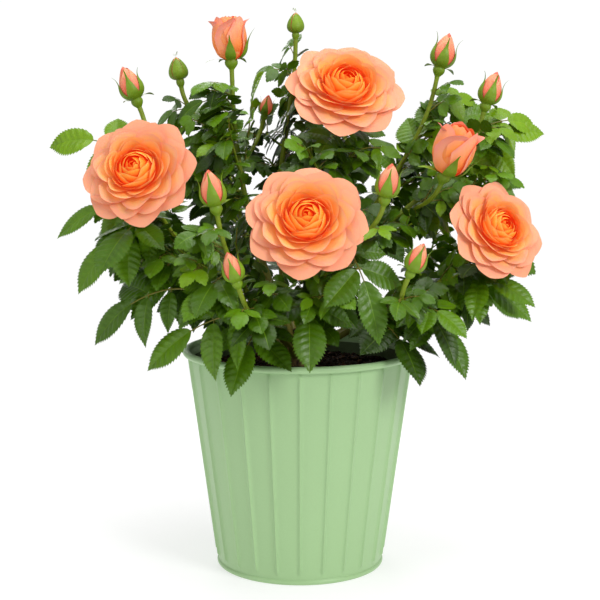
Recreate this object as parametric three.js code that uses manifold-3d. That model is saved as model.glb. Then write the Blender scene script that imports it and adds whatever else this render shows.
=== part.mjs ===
// A peach patio rose in a ribbed metal pot, in millimetres, +Z up, front towards -Y.
// The origin is the middle of the pot's flat underside.
//
// The plant is a clump from one rootstock. Each shoot of it is one smooth path from the
// rootstock to a flower: a bare tapering bough, then a mass of leafy twigs, then the
// flower on its own stalk. Side flowers leave the mass on twigs of their own.

import * as THREE from "three";
import { mergeVertices } from "three/addons/utils/BufferGeometryUtils.js";
import Module from "manifold-3d";

const wasm = await Module();
wasm.setup();

// ---------------------------------------------------------------- driving dimensions

const CLEAR = 0.3; // gap between solids that touch on the real plant
const SLIVER = 0.05; // faces that a join leaves narrower than this are closed up
const MERGE = 1e-3; // corners nearer than this are one corner

// pot: a tapered sheet-metal bucket with a rolled rim, a foot bead and upright ribs
const POT_HEIGHT = 150;
const POT_RIM_RADIUS = 80; // outside of the rolled rim
const POT_RIM_ROLL = 2.6; // radius of the roll
const POT_TOP_RADIUS = 76.4; // wall just under the rim
const POT_FOOT_RADIUS = 56;
const POT_FOOT_BEAD = 1.5;
const POT_WALL = 2;
const POT_FLOOR = 3;
const POT_RIBS = 24;
const POT_RIB_RADIUS = 1.5;
const POT_RIB_SUNK = 0.6; // how far the rib's middle line lies inside the wall
const POT_RIB_FROM = 8;
const POT_RIB_TO = 141;

// soil and rootstock
const SOIL_EDGE = 134;
const SOIL_TOP = 138;
const SOIL_FLAT_RADIUS = 24; // level patch round the foot of the rose
const STOCK_FOOT_RADIUS = 13; // root flare
const STOCK_RADIUS = 9;
const STOCK_TOP_RADIUS = 5.5;
const STOCK_HEIGHT = 24;

// shoots: shares of the path from the rootstock to the flower
const ENTRY = 0.28; // the bough ends and the mass begins
const NECK = 0.85; // the mass's stem ends and the flower's stalk begins
const SIDE_NECK = 0.6; // a side twig ends and its flower's stalk begins
const BOUGH_RADIUS = 2.7;
const STEM_RADIUS = 2.0;
const STALK_RADIUS = 1.4;
const SIDE_TWIG_RADIUS = 1.3;
const LEAFY_TWIG_RADIUS = 1.1;
const TWIG_TIP_RADIUS = 0.8;
const TWIG_LENGTHS = [34, 56]; // of the twigs that bear leaves and no flower

// how many grow on each mass
const STEM_LEAVES = 5;
const SIDE_LEAVES = 2;
const LEAFY_TWIGS = 2;
const TWIG_LEAVES = 2;
const TRIES = 8; // places that a leaf or twig is offered before it is left out

// leaves: a stalk with one leaflet at its end and a pair or two at its sides. Places
// and lengths are shares of the leaf's reach, from the limb to the end leaflet's tip.
const LEAF_REACH = 66;
const LEAF_THICK = 0.9;
const LEAF_SUNK = 1.6; // how far the stalk runs into the limb
const RIB_WIDTH = 1.8;
const LEAFLETS = [
  { at: 0.2, length: 0.32 },
  { at: 0.45, length: 0.38 },
  { at: 0.58, length: 0.42 },
];
const LEAFLET_WIDTH = 0.8; // of its length
const LEAFLET_BELLY = 0.45; // where it is broadest
const PAIR_SLANT = 0.36; // radians that side leaflets lean forwards
const LEAF_LIFT = 0.26; // how high its arch stands over a straight line, of its reach
const LEAF_ROLL = 1.1; // the most radians that a leaf rolls to face the light
const LIGHT_RISE = 0.8; // how high the light comes from, against how far outwards
const BACK_FROM = 25; // leaves rooted further back than this face outwards to the back
const SAG = 0.2; // how far a leaf's sides hang, for each millimetre from its rib
const SPRAY_TURN = 0.13; // radians between the places that an outer leaf is offered
const ROOT_SPACING = 6; // between the roots of a shoot's outer leaves
const SHORTEST_TWIG = 0.15; // of the way to an outer leaf's tip
const GOLDEN_TURN = Math.PI * (3 - Math.sqrt(5));
const TWIG_SEED = 31;
const LEAF_SEED = 35;
const SEED_STEP = 7919; // from one shoot's seed to the next

// room round the pieces
const SPACE_MARGIN = 1; // a leaf is this much nearer to its own shoot than to another
const LIMB_MARGIN = 2.2; // from a limb that is a solid of its own
const FLOWER_MARGIN = 3;
const LEAF_MARGIN = 7; // from another leaf

// flowers
const BLOOM_RADIUS = 36;
const BUD_LENGTH = 27;
const SEPAL_THICK = 1.2;
const SEPAL_WIDTH = 0.3; // of its length

// ---------------------------------------------------------------- the shoots

// A flower: where its base is, the way it faces (compass from -Y towards +X, and up
// from level, in degrees), its kind and its size against a full one.
// sprays: tips of the long leaves that hang out furthest.
const SHOOTS = [
  {
    name: "left",
    flower: { kind: "bloom", base: [-97, -66, 266], faces: [-14, 28], size: 0.96 },
    sides: [{ kind: "bud", base: [-105, -24, 313], faces: [-80, 68], size: 0.95 }],
    sprays: [[-166, -22, 288], [-160, -34, 228], [-146, -62, 196]],
  },
  {
    name: "upper_left",
    flower: { kind: "cup", base: [-45, -12, 338], faces: [-60, 86], size: 1 },
    sides: [
      { kind: "green_bud", base: [-80, 8, 326], faces: [-90, 80], size: 0.95 },
      { kind: "bud", base: [-25, 24, 304], faces: [60, 76], size: 0.6 },
    ],
    sprays: [[-26, -24, 336]],
  },
  {
    name: "top",
    flower: { kind: "green_bud", base: [-3, 20, 358], faces: [0, 89], size: 0.85 },
    sides: [],
    sprays: [],
  },
  {
    name: "top_front",
    flower: { kind: "bloom", base: [28, -14, 314], faces: [8, 42], size: 1.03 },
    sides: [],
    sprays: [],
  },
  {
    name: "top_right",
    flower: { kind: "bud", base: [93, 14, 334], faces: [90, 74], size: 1 },
    sides: [],
    sprays: [[132, 24, 308]],
  },
  {
    name: "right",
    flower: { kind: "bud", base: [121, -16, 310], faces: [80, 72], size: 0.92 },
    sides: [{ kind: "cup", base: [91, -46, 265], faces: [50, 66], size: 1.15 }],
    sprays: [[164, -8, 297], [151, -6, 262], [169, 6, 231]],
  },
  {
    name: "low_right",
    flower: { kind: "bloom", base: [119, -50, 229], faces: [30, 27], size: 0.9 },
    sides: [{ kind: "bud", base: [66, -98, 209], faces: [85, 66], size: 0.8 }],
    sprays: [[153, -38, 174], [108, -66, 141]],
  },
  {
    name: "front_left",
    flower: { kind: "bud", base: [-50, -100, 248], faces: [-70, 78], size: 0.95 },
    sides: [{ kind: "bud", base: [-37, -108, 204], faces: [-70, 72], size: 0.8 }],
    sprays: [[-135, -62, 163], [-97, -78, 148]],
  },
  {
    name: "front",
    flower: { kind: "bloom", base: [4, -84, 236], faces: [0, 30], size: 1 },
    sides: [{ kind: "bud", base: [51, -92, 253], faces: [70, 78], size: 0.9 }],
    sprays: [[6, -110, 153], [46, -112, 170]],
  },
  {
    name: "back_right",
    flower: { kind: "bloom", base: [128, 52, 214], faces: [125, 42], size: 0.9 },
    sides: [],
    sprays: [[104, 112, 232], [128, 90, 172]],
  },
  {
    name: "back",
    flower: { kind: "cup", base: [35, 98, 307], faces: [170, 74], size: 1.1 },
    sides: [{ kind: "bloom", base: [9, 84, 220], faces: [190, 38], size: 0.95 }],
    sprays: [[60, 148, 196], [12, 140, 162]],
  },
  {
    name: "back_left",
    flower: { kind: "green_bud", base: [-54, 92, 276], faces: [205, 72], size: 1 },
    sides: [],
    sprays: [[-62, 140, 178], [-70, 146, 226]],
  },
  {
    name: "far_left",
    flower: { kind: "bloom", base: [-106, 56, 260], faces: [-120, 45], size: 0.8 },
    sides: [{ kind: "green_bud", base: [-128, 4, 246], faces: [-95, 62], size: 0.9 }],
    sprays: [[-150, 66, 206], [-128, 60, 166]],
  },
];

// ---------------------------------------------------------------- small helpers

const UP = new THREE.Vector3(0, 0, 1);
const lerp = THREE.MathUtils.lerp;
const vec = (list) => new THREE.Vector3(...list);

// Numbers from a seed, the same on every run: chance(low, high).
function makeChance(seed) {
  let state = seed;
  const draw = (low, high) => {
    state = (state * 1664525 + 1013904223) % 4294967296;
    return low + ((high - low) * state) / 4294967296;
  };
  for (let warm = 0; warm < 4; warm += 1) draw(0, 1);
  return draw;
}

// A compass turn and a rise, in degrees, as a direction.
function facing([turn, rise]) {
  const a = THREE.MathUtils.degToRad(turn);
  const e = THREE.MathUtils.degToRad(rise);
  return new THREE.Vector3(
    Math.sin(a) * Math.cos(e),
    -Math.cos(a) * Math.cos(e),
    Math.sin(e),
  );
}

// A closed geometry as a solid that can be joined and cut.
function solidOf(geometry) {
  const bare = geometry.clone();
  bare.deleteAttribute("normal");
  bare.deleteAttribute("uv");
  const merged = mergeVertices(bare, MERGE);
  return new wasm.Manifold(
    new wasm.Mesh({
      numProp: 3,
      vertProperties: new Float32Array(merged.attributes.position.array),
      triVerts: new Uint32Array(merged.index.array),
    }),
  );
}

// Joins solids. The largest piece is kept, which fills sealed hollows and drops scraps.
function join(solids) {
  const whole = solids.reduce((sum, solid) => sum.add(solid)).asOriginal().simplify(SLIVER);
  const pieces = solidOf(geometryOf(whole)).decompose();
  return pieces.reduce((a, b) => (b.volume() > a.volume() ? b : a));
}

function geometryOf(solid) {
  const mesh = solid.getMesh();
  const geometry = new THREE.BufferGeometry();
  geometry.setAttribute("position", new THREE.BufferAttribute(mesh.vertProperties, 3));
  geometry.setIndex(new THREE.BufferAttribute(mesh.triVerts, 1));
  geometry.computeVertexNormals();
  return geometry;
}

// A tapered round limb along a curve: a cylinder whose rings are carried along it.
function limb(curve, from, to, fromRadius, toRadius, sides, steps) {
  const geometry = new THREE.CylinderGeometry(toRadius, fromRadius, 1, sides, steps);
  const position = geometry.attributes.position;
  const across = curve.getTangent(from).cross(curve.getTangent(to));
  if (across.length() < 1e-3) across.set(1, 0.02, 0).cross(curve.getTangent(from));
  across.normalize();
  for (let i = 0; i < position.count; i += 1) {
    const t = lerp(from, to, position.getY(i) + 0.5);
    const along = curve.getTangent(t);
    const side = across.clone().addScaledVector(along, -across.dot(along)).normalize();
    const third = side.clone().cross(along);
    const point = curve
      .getPoint(t)
      .addScaledVector(side, position.getX(i))
      .addScaledVector(third, position.getZ(i));
    position.setXYZ(i, point.x, point.y, point.z);
  }
  return solidOf(geometry);
}

// A closed profile of [radius, height] turned about Z.
function turned(profile, segments) {
  const points = profile.map(([r, z]) => new THREE.Vector2(r, z));
  const geometry = new THREE.LatheGeometry(points, segments).rotateX(Math.PI / 2);
  return solidOf(geometry);
}

// ---------------------------------------------------------------- pot, soil, rootstock

function wallRadius(z) {
  return lerp(POT_FOOT_RADIUS, POT_TOP_RADIUS, z / POT_HEIGHT);
}

// The roll round the rim, as [radius, height] from its foot outside to its foot inside.
function rimRoll() {
  const middle = [POT_RIM_RADIUS - POT_RIM_ROLL, POT_HEIGHT - POT_RIM_ROLL];
  const points = [];
  for (let degrees = -60; degrees <= 200; degrees += 65) {
    const a = THREE.MathUtils.degToRad(degrees);
    points.push([
      middle[0] + POT_RIM_ROLL * Math.cos(a),
      middle[1] + POT_RIM_ROLL * Math.sin(a),
    ]);
  }
  return points;
}

function makePot() {
  const neck = POT_HEIGHT - 2 * POT_RIM_ROLL - 1;
  const bead = POT_FOOT_RADIUS + POT_FOOT_BEAD;
  const shell = turned(
    [
      [0, 0],
      [bead - 0.8, 0],
      [bead, 1],
      [bead, 2.6],
      [wallRadius(4), 4],
      [wallRadius(neck), neck],
      ...rimRoll(),
      [wallRadius(neck) - POT_WALL, neck],
      [wallRadius(POT_FLOOR) - POT_WALL, POT_FLOOR],
      [0, POT_FLOOR],
    ],
    POT_RIBS,
  );
  const lean = Math.atan((POT_TOP_RADIUS - POT_FOOT_RADIUS) / POT_HEIGHT);
  const ribLength = (POT_RIB_TO - POT_RIB_FROM) / Math.cos(lean);
  const middle = (POT_RIB_FROM + POT_RIB_TO) / 2;
  const ribs = [];
  for (let k = 0; k < POT_RIBS; k += 1) {
    const rib = new THREE.CylinderGeometry(
      POT_RIB_RADIUS, POT_RIB_RADIUS, ribLength, 3, 1,
    )
      .rotateX(Math.PI / 2 + lean)
      .translate(0, -(wallRadius(middle) - POT_RIB_SUNK), middle)
      .rotateZ((k * 2 * Math.PI) / POT_RIBS);
    ribs.push(solidOf(rib));
  }
  return join([shell, ...ribs]);
}

function makeSoil() {
  const inside = (z) => wallRadius(z) - POT_WALL - CLEAR;
  const foot = POT_FLOOR + CLEAR;
  return turned(
    [
      [0, foot],
      [inside(foot), foot],
      [inside(SOIL_EDGE), SOIL_EDGE],
      [inside(SOIL_EDGE) - 6, SOIL_EDGE + 1.5],
      [SOIL_FLAT_RADIUS, SOIL_TOP],
      [0, SOIL_TOP],
    ],
    POT_RIBS,
  );
}

// A short trunk with its root flare, cut flat where it enters the soil. grow widens it
// all round, for cutting the boughs clear of it.
function makeRootstock(grow) {
  const foot = SOIL_TOP + CLEAR;
  const profile = [
    [0, foot],
    [STOCK_FOOT_RADIUS + grow, foot],
    [STOCK_RADIUS + grow, foot + 0.28 * STOCK_HEIGHT],
    [STOCK_RADIUS - 1 + grow, foot + 0.7 * STOCK_HEIGHT],
    [STOCK_TOP_RADIUS + grow, foot + STOCK_HEIGHT],
    [0, foot + STOCK_HEIGHT + 2 + grow],
  ];
  return turned(profile, 9);
}

// ---------------------------------------------------------------- the paths of the shoots

// Shoots leave the rootstock all round it, in two rings: those that lean out far leave
// it low down, those that stand up leave it near its top.
const STOCK_TWIST = 0.4;
const STOCK_RINGS = [
  { height: 7, rise: 0.8 },
  { height: 20, rise: 2.4 },
];

function layOutShoots() {
  const entries = SHOOTS.map((shoot) => {
    const [x, y, z] = shoot.flower.base;
    return { shoot, turn: Math.atan2(y, x), steep: (z - SOIL_TOP) / Math.hypot(x, y) };
  }).sort((a, b) => a.steep - b.steep);
  const half = Math.ceil(entries.length / 2);
  [entries.slice(0, half), entries.slice(half)].forEach((ring, high) => {
    ring.sort((a, b) => a.turn - b.turn);
    const step = (2 * Math.PI) / ring.length;
    const phase = ring.reduce((sum, entry, k) => sum + entry.turn - k * step, 0) / ring.length;
    ring.forEach((entry, k) => {
      // spread evenly, then part of the way back towards the flower's own direction
      const turn = lerp(phase + k * step, entry.turn, STOCK_TWIST);
      entry.shoot.path = shootPath(entry.shoot.flower, turn, high);
    });
  });
}

function shootPath(flower, turn, high) {
  const { height, rise } = STOCK_RINGS[high];
  const out = new THREE.Vector3(Math.cos(turn), Math.sin(turn), 0);
  const start = out.clone().multiplyScalar(0.8 * STOCK_RADIUS);
  start.z = SOIL_TOP + height;
  const end = vec(flower.base);
  const span = start.distanceTo(end);
  const first = start
    .clone()
    .addScaledVector(out, span * 0.2)
    .addScaledVector(UP, span * 0.2 * rise);
  const stalk = facing(flower.faces).addScaledVector(UP, 0.7).normalize();
  const last = end.clone().addScaledVector(stalk, -span * 0.3);
  return new THREE.CubicBezierCurve3(start, first, last, end);
}

// The twig of a side flower, from the shoot's stem to the flower's base.
function layOutSide(shoot, flower) {
  const end = vec(flower.base);
  const drop = Math.max(30, 0.55 * (end.z - shoot.path.getPoint(ENTRY).z));
  let at = ENTRY + 0.04;
  while (at < NECK - 0.1 && shoot.path.getPoint(at).z < end.z - drop) at += 0.01;
  const start = shoot.path.getPoint(at);
  const span = start.distanceTo(end);
  const first = start.clone().addScaledVector(shoot.path.getTangent(at), span * 0.35);
  const last = end.clone().addScaledVector(facing(flower.faces), -span * 0.4);
  flower.path = new THREE.CubicBezierCurve3(start, first, last, end);
}

// ---------------------------------------------------------------- room round the limbs

// Points along every limb. A limb that is a solid of its own is apart from the masses.
const guides = [];

function addGuides(curve, from, to, owner, radius, apart) {
  const count = Math.ceil((curve.getLength() * (to - from)) / 4);
  for (let k = 0; k <= count; k += 1) {
    guides.push({ owner, radius, apart, point: curve.getPoint(lerp(from, to, k / count)) });
  }
}

// Each flower as a ball, flattened along its axis and drawn out in front of it, that
// nothing else may enter.
const flowerRooms = SHOOTS.flatMap((shoot) =>
  [shoot.flower, ...shoot.sides].map((flower) => {
    const axis = facing(flower.faces);
    const open = flower.kind === "bloom";
    const radius = open ? BLOOM_RADIUS : BUD_LENGTH * (flower.kind === "cup" ? 0.76 : 0.6);
    const depth = open ? 0.5 * BLOOM_RADIUS : 0.7 * BUD_LENGTH;
    const across = radius * flower.size + FLOWER_MARGIN;
    const deep = depth * flower.size + FLOWER_MARGIN;
    const centre = vec(flower.base).addScaledVector(axis, depth * flower.size);
    return { axis, across, deep, centre, ahead: open ? 2 * deep : deep };
  }),
);

function inFlower(point) {
  return flowerRooms.some(({ axis, across, deep, centre, ahead }) => {
    const from = point.clone().sub(centre);
    const along = from.dot(axis);
    const out = Math.sqrt(Math.max(0, from.lengthSq() - along * along));
    return (along / (along > 0 ? ahead : deep)) ** 2 + (out / across) ** 2 < 1;
  });
}

// Whether a point would touch the pot's wall or rim, or the soil.
function inPot(point) {
  const out = Math.hypot(point.x, point.y);
  if (point.z > POT_HEIGHT + 2) return false;
  const overSoil = out < POT_TOP_RADIUS - 8 && point.z > SOIL_TOP + 3;
  return out < POT_RIM_RADIUS + 2.5 && !overSoil;
}

// Whether a point is clear of the pot, the flowers, the limbs of other shoots and those
// that are solids of their own, and nearer to its own shoot than to others by a margin.
function hasRoom(point, owner, margin = SPACE_MARGIN) {
  if (inPot(point) || inFlower(point)) return false;
  let own = Infinity;
  let other = Infinity;
  for (const guide of guides) {
    const away = point.distanceTo(guide.point) - guide.radius;
    if (guide.owner === owner) own = Math.min(own, away);
    else other = Math.min(other, away);
    if (guide.apart && away < LIMB_MARGIN) return false;
  }
  return own + margin < other && other > LIMB_MARGIN;
}

function lineHasRoom(line, from, to, owner, margin) {
  for (let t = from; t <= to; t += 0.1) {
    if (!hasRoom(line.getPoint(t), owner, margin)) return false;
  }
  return true;
}

// ---------------------------------------------------------------- twigs of the masses

// The way that a leaf or twig leaves a limb at `root`: turned about the limb, drawn
// outwards from the middle of the crown, rising a little.
function outwards(root, turn, rise) {
  const out = new THREE.Vector3(root.x, root.y, 0);
  const pull = Math.min(1, out.length() / 50);
  return new THREE.Vector3(Math.cos(turn), Math.sin(turn), 0)
    .multiplyScalar(0.75)
    .addScaledVector(out.normalize(), pull)
    .addScaledVector(UP, rise)
    .normalize();
}

// Leafy twigs of one shoot, at even steps up its stem.
function layOutTwigs(shoot, owner) {
  const chance = makeChance(TWIG_SEED + owner * SEED_STEP);
  shoot.twigs = [];
  let turn = chance(0, 2 * Math.PI);
  for (let k = 0; k < LEAFY_TWIGS; k += 1) {
    const at = lerp(ENTRY + 0.04, NECK - 0.12, (k + chance(0.1, 0.9)) / LEAFY_TWIGS);
    const length = chance(...TWIG_LENGTHS);
    const start = shoot.path.getPoint(at);
    for (let attempt = 0; attempt < TRIES; attempt += 1) {
      turn += GOLDEN_TURN;
      const way = outwards(start, turn, 0.5);
      const end = start.clone().addScaledVector(way, length * (1 - 0.1 * attempt));
      const bend = start.clone().lerp(end, 0.5).addScaledVector(UP, -0.1 * length);
      const twig = new THREE.QuadraticBezierCurve3(start, bend, end);
      if (!lineHasRoom(twig, 0.3, 1, owner)) continue;
      shoot.twigs.push(twig);
      addGuides(twig, 0, 1, owner, LEAFY_TWIG_RADIUS, false);
      break;
    }
  }
}

// ---------------------------------------------------------------- leaves

// One side of a leaf drawn flat, from its root to its tip, with this many pairs: points
// [along, across] on the rib and round each leaflet, all as shares of the reach.
function leafSide(pairs, rib) {
  const forwards = [Math.sin(PAIR_SLANT), Math.cos(PAIR_SLANT)];
  const [end, ...sides] = LEAFLETS.slice(2 - pairs).reverse();
  const side = sides.reverse().flatMap(({ at, length }) => {
    const half = (length * LEAFLET_WIDTH) / 2;
    const belly = length * LEAFLET_BELLY;
    return [
      [at - rib, rib],
      [
        at + belly * forwards[0] - half * forwards[1],
        belly * forwards[1] + half * forwards[0],
      ],
      [at + length * forwards[0], length * forwards[1]],
      [
        at + belly * forwards[0] + half * forwards[1],
        belly * forwards[1] - half * forwards[0],
      ],
    ];
  });
  const endHalf = (end.length * LEAFLET_WIDTH) / 2;
  return [...side, [end.at, rib], [end.at + end.length * LEAFLET_BELLY, endHalf]];
}

// A leaf's frame: the arch that it hangs on, from its root on a limb to the end
// leaflet's tip, the level way across it, and how far it is rolled to face the light.
function hang(root, tip) {
  const reach = root.distanceTo(tip);
  const bow = root.clone().lerp(tip, 0.5).addScaledVector(UP, LEAF_LIFT * reach);
  const level = UP.clone().cross(tip.clone().sub(root)).normalize();
  const face = tip.clone().sub(root).cross(level).normalize();
  const light = new THREE.Vector3(root.x, root.y, 0).normalize();
  light.y += root.y < BACK_FROM ? -1 : 1;
  light.normalize().addScaledVector(UP, LIGHT_RISE);
  const wanted = Math.atan2(-level.dot(light), face.dot(light));
  const roll = THREE.MathUtils.clamp(wanted, -LEAF_ROLL, LEAF_ROLL);
  return { arch: new THREE.QuadraticBezierCurve3(root, bow, tip), reach, level, roll };
}

// Carries a point of the flat leaf onto its arch: along and across in shares of the
// reach, above in millimetres.
function onArch({ arch, reach, level, roll }, along, across, above) {
  const tangent = arch.getTangent(Math.max(0, along));
  const side = level.clone().applyAxisAngle(tangent, roll);
  const normal = tangent.clone().cross(side).normalize();
  return arch
    .getPoint(along)
    .addScaledVector(side, across * reach)
    .addScaledVector(UP, -SAG * Math.abs(across) * reach)
    .addScaledVector(normal, above);
}

// Points over a leaf, for the tests of room: its outline and its leaflets' middles.
function leafTestPoints(leaf, pairs) {
  const corners = [...leafSide(pairs, 0.01), [1, 0]];
  const side = [...corners];
  for (let k = 1; k < corners.length; k += 1) {
    const [before, after] = [corners[k - 1], corners[k]];
    side.push([(before[0] + after[0]) / 2, (before[1] + after[1]) / 2]);
  }
  for (const { at, length } of LEAFLETS.slice(2 - pairs, 2)) {
    side.push([at + 0.18 * length, 0.5 * length]);
  }
  const spots = side.flatMap(([along, across]) => [[along, across], [along, -across]]);
  for (let along = 0.3; along < 1; along += 0.1) spots.push([along, 0]);
  return spots.map(([along, across]) => onArch(leaf, along, across, 0));
}

// Points over all the leaves made so far.
const leafPoints = [];

function leafHasRoom(points, owner, margin) {
  return points.every(
    (point) =>
      hasRoom(point, owner, margin) &&
      leafPoints.every((made) => made.distanceToSquared(point) > LEAF_MARGIN ** 2),
  );
}

// A leaf as one blade in its own outline, bent over its arch.
function leafBlade(leaf, pairs) {
  const rib = RIB_WIDTH / 2 / leaf.reach;
  const side = [[-LEAF_SUNK / leaf.reach, rib], ...leafSide(pairs, rib)];
  const mirrored = side.map(([along, across]) => [along, -across]).reverse();
  const outline = [...side, [1, 0], ...mirrored];
  const shape = new THREE.Shape(outline.map(([x, y]) => new THREE.Vector2(x, y)));
  const geometry = new THREE.ExtrudeGeometry(shape, {
    depth: LEAF_THICK,
    steps: 1,
    bevelEnabled: false,
  });
  const position = geometry.attributes.position;
  for (let i = 0; i < position.count; i += 1) {
    const above = position.getZ(i) - LEAF_THICK / 2;
    const point = onArch(leaf, position.getX(i), position.getY(i), above);
    position.setXYZ(i, point.x, point.y, point.z);
  }
  return solidOf(geometry);
}

// A leaf with two pairs of side leaflets, or one where two have no room, or none.
function growLeaf(root, tip, owner, margin) {
  const leaf = hang(root, tip);
  for (const pairs of [2, 1]) {
    const points = leafTestPoints(leaf, pairs);
    if (leafHasRoom(points, owner, margin)) {
      leafPoints.push(...points);
      return [leafBlade(leaf, pairs)];
    }
  }
  return [];
}

// A leaf of the crown's outline: it hangs from the point of the shoot's stem or side
// twigs whose distance from its tip suits a long leaf, on a twig of its own where that
// is far. It may lie in front of another shoot, and is turned a little where it would
// touch something.
function outerLeaf(shoot, spray, owner, earlierRoots) {
  const tip = vec(spray);
  let root = null;
  let least = Infinity;
  for (const { curve, from, to } of stemsOf(shoot).slice(0, 1 + shoot.sides.length)) {
    for (let t = from + 0.04; t <= to - 0.04; t += 0.02) {
      const point = curve.getPoint(t);
      const excess = Math.abs(point.distanceTo(tip) - LEAF_REACH);
      const taken = earlierRoots.some((made) => made.distanceTo(point) < ROOT_SPACING);
      if (excess < least && !taken) [root, least] = [point, excess];
    }
  }
  earlierRoots.push(root);
  const twigShare = 1 - LEAF_REACH / root.distanceTo(tip);
  for (let attempt = 0; attempt < TRIES; attempt += 1) {
    const turn = Math.ceil(attempt / 2) * (attempt % 2 ? SPRAY_TURN : -SPRAY_TURN);
    const swung = tip.clone().sub(root).applyAxisAngle(UP, turn).add(root);
    const { arch } = hang(root, swung);
    if (twigShare < SHORTEST_TWIG) {
      const made = growLeaf(root, swung, owner, -Infinity);
      if (made.length > 0) return made;
    } else if (lineHasRoom(arch, 0.2, twigShare, owner, -Infinity)) {
      const made = growLeaf(arch.getPoint(twigShare), swung, owner, -Infinity);
      const twig = limb(arch, 0, twigShare, LEAFY_TWIG_RADIUS, TWIG_TIP_RADIUS, 3, 2);
      if (made.length > 0) return [twig, ...made];
    }
  }
  return [];
}

// Leaves at even steps along a limb, each at the golden angle from the one before. A
// leaf that has no room is offered a few other turns, shorter each time.
function leavesAlong(curve, from, to, count, scale, chance, owner) {
  const solids = [];
  let turn = chance(0, 2 * Math.PI);
  for (let k = 0; k < count; k += 1) {
    const root = curve.getPoint(lerp(from, to, (k + chance(0.3, 0.9)) / count));
    const full = LEAF_REACH * scale * chance(0.85, 1.1) * lerp(1.08, 0.76, k / count);
    const droop = chance(0.35, 0.9);
    for (let attempt = 0; attempt < TRIES; attempt += 1) {
      turn += GOLDEN_TURN;
      const reach = full * (1 - 0.06 * attempt);
      const tip = root
        .clone()
        .addScaledVector(outwards(root, turn, 0.25), reach)
        .addScaledVector(UP, -droop * reach);
      const made = growLeaf(root, tip, owner);
      solids.push(...made);
      if (made.length > 0) break;
    }
  }
  return solids;
}

// ---------------------------------------------------------------- boughs

// A bare tapering limb from the rootstock to where the leaves begin.
function makeBough(path) {
  const bough = limb(path, 0, ENTRY - gapShare(path), BOUGH_RADIUS, STEM_RADIUS, 6, 3);
  return join([bough.subtract(makeRootstock(CLEAR))]);
}

// ---------------------------------------------------------------- the masses

// Half of the gap between two solids on one path, as a share of the path.
function gapShare(curve) {
  return CLEAR / 2 / curve.getLength();
}

// The stem inside a mass, the side twigs and the leafy twigs, and where each has leaves.
function stemsOf(shoot) {
  const half = gapShare(shoot.path);
  return [
    { curve: shoot.path, from: ENTRY + half, to: NECK - half },
    ...shoot.sides.map(({ path }) => ({ curve: path, from: 0, to: SIDE_NECK - gapShare(path) })),
    ...shoot.twigs.map((curve) => ({ curve, from: 0, to: 1 })),
  ];
}

function makeMass(shoot, owner) {
  const chance = makeChance(LEAF_SEED + owner * SEED_STEP);
  const stems = stemsOf(shoot);
  const [stem, ...others] = stems;
  const sides = others.slice(0, shoot.sides.length);
  const twigs = others.slice(shoot.sides.length);
  const solids = [limb(stem.curve, stem.from, stem.to, STEM_RADIUS, STALK_RADIUS, 4, 4)];
  for (const { curve, from, to } of sides) {
    solids.push(limb(curve, from, to, SIDE_TWIG_RADIUS, SIDE_TWIG_RADIUS * 0.85, 3, 3));
  }
  for (const { curve } of twigs) {
    solids.push(limb(curve, 0, 1, LEAFY_TWIG_RADIUS, TWIG_TIP_RADIUS, 3, 2));
  }
  solids.push(...shoot.outerLeaves);
  solids.push(
    ...leavesAlong(stem.curve, stem.from, stem.to, STEM_LEAVES, 1, chance, owner),
  );
  for (const { curve, to } of sides) {
    solids.push(...leavesAlong(curve, 0.25, to, SIDE_LEAVES, 0.75, chance, owner));
  }
  for (const { curve } of twigs) {
    solids.push(...leavesAlong(curve, 0.4, 1, TWIG_LEAVES, 0.75, chance, owner));
  }
  return join(solids);
}

// ---------------------------------------------------------------- flowers

// Every flower stands on the origin and faces +Z. Its profile is turned, and rings that
// are petals are drawn in between one petal and the next.
// profile: [radius, height, petals round this ring, how deep the notches are]
function turnedFlower(profile, segments) {
  const points = profile.map(([r, z]) => new THREE.Vector2(r, z));
  const geometry = new THREE.LatheGeometry(points, segments).rotateX(Math.PI / 2);
  const position = geometry.attributes.position;
  for (let i = 0; i < position.count; i += 1) {
    const [, , petals = 0, notch = 0] = profile[i % profile.length];
    const angle = Math.atan2(position.getY(i), position.getX(i));
    const scale = 1 - notch * (0.5 - 0.5 * Math.cos(petals * angle));
    position.setX(i, position.getX(i) * scale);
    position.setY(i, position.getY(i) * scale);
  }
  return solidOf(geometry);
}

// A narrow blade of eight faces from `root` along `axis`, facing `normal`.
function sepal(root, axis, normal, length) {
  const geometry = new THREE.SphereGeometry(1, 4, 2);
  const position = geometry.attributes.position;
  const side = axis.clone().cross(normal);
  for (let i = 0; i < position.count; i += 1) {
    const point = root
      .clone()
      .addScaledVector(axis, ((1 + position.getX(i)) / 2) * length)
      .addScaledVector(side, position.getZ(i) * SEPAL_WIDTH * 0.5 * length)
      .addScaledVector(normal, (position.getY(i) * SEPAL_THICK) / 2);
    position.setXYZ(i, point.x, point.y, point.z);
  }
  return solidOf(geometry);
}

// Five sepals round the base; opening is their angle from the flower's axis.
function sepals(length, opening, foot) {
  const made = [];
  for (let k = 0; k < 5; k += 1) {
    const turn = (k * 2 * Math.PI) / 5 + 0.3;
    const out = new THREE.Vector3(Math.cos(turn), Math.sin(turn), 0);
    const axis = out
      .clone()
      .multiplyScalar(Math.sin(opening))
      .addScaledVector(UP, Math.cos(opening));
    const normal = UP.clone()
      .multiplyScalar(Math.sin(opening))
      .addScaledVector(out, -Math.cos(opening));
    made.push(sepal(new THREE.Vector3(0, 0, foot), axis, normal, length));
  }
  return made;
}

// The urn under the petals, from the stalk's end up.
function urn(radius) {
  return [
    [0, -1],
    [STALK_RADIUS + 0.4, -1],
    [radius, 4],
    [radius * 0.85, 6.5],
  ];
}

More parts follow.
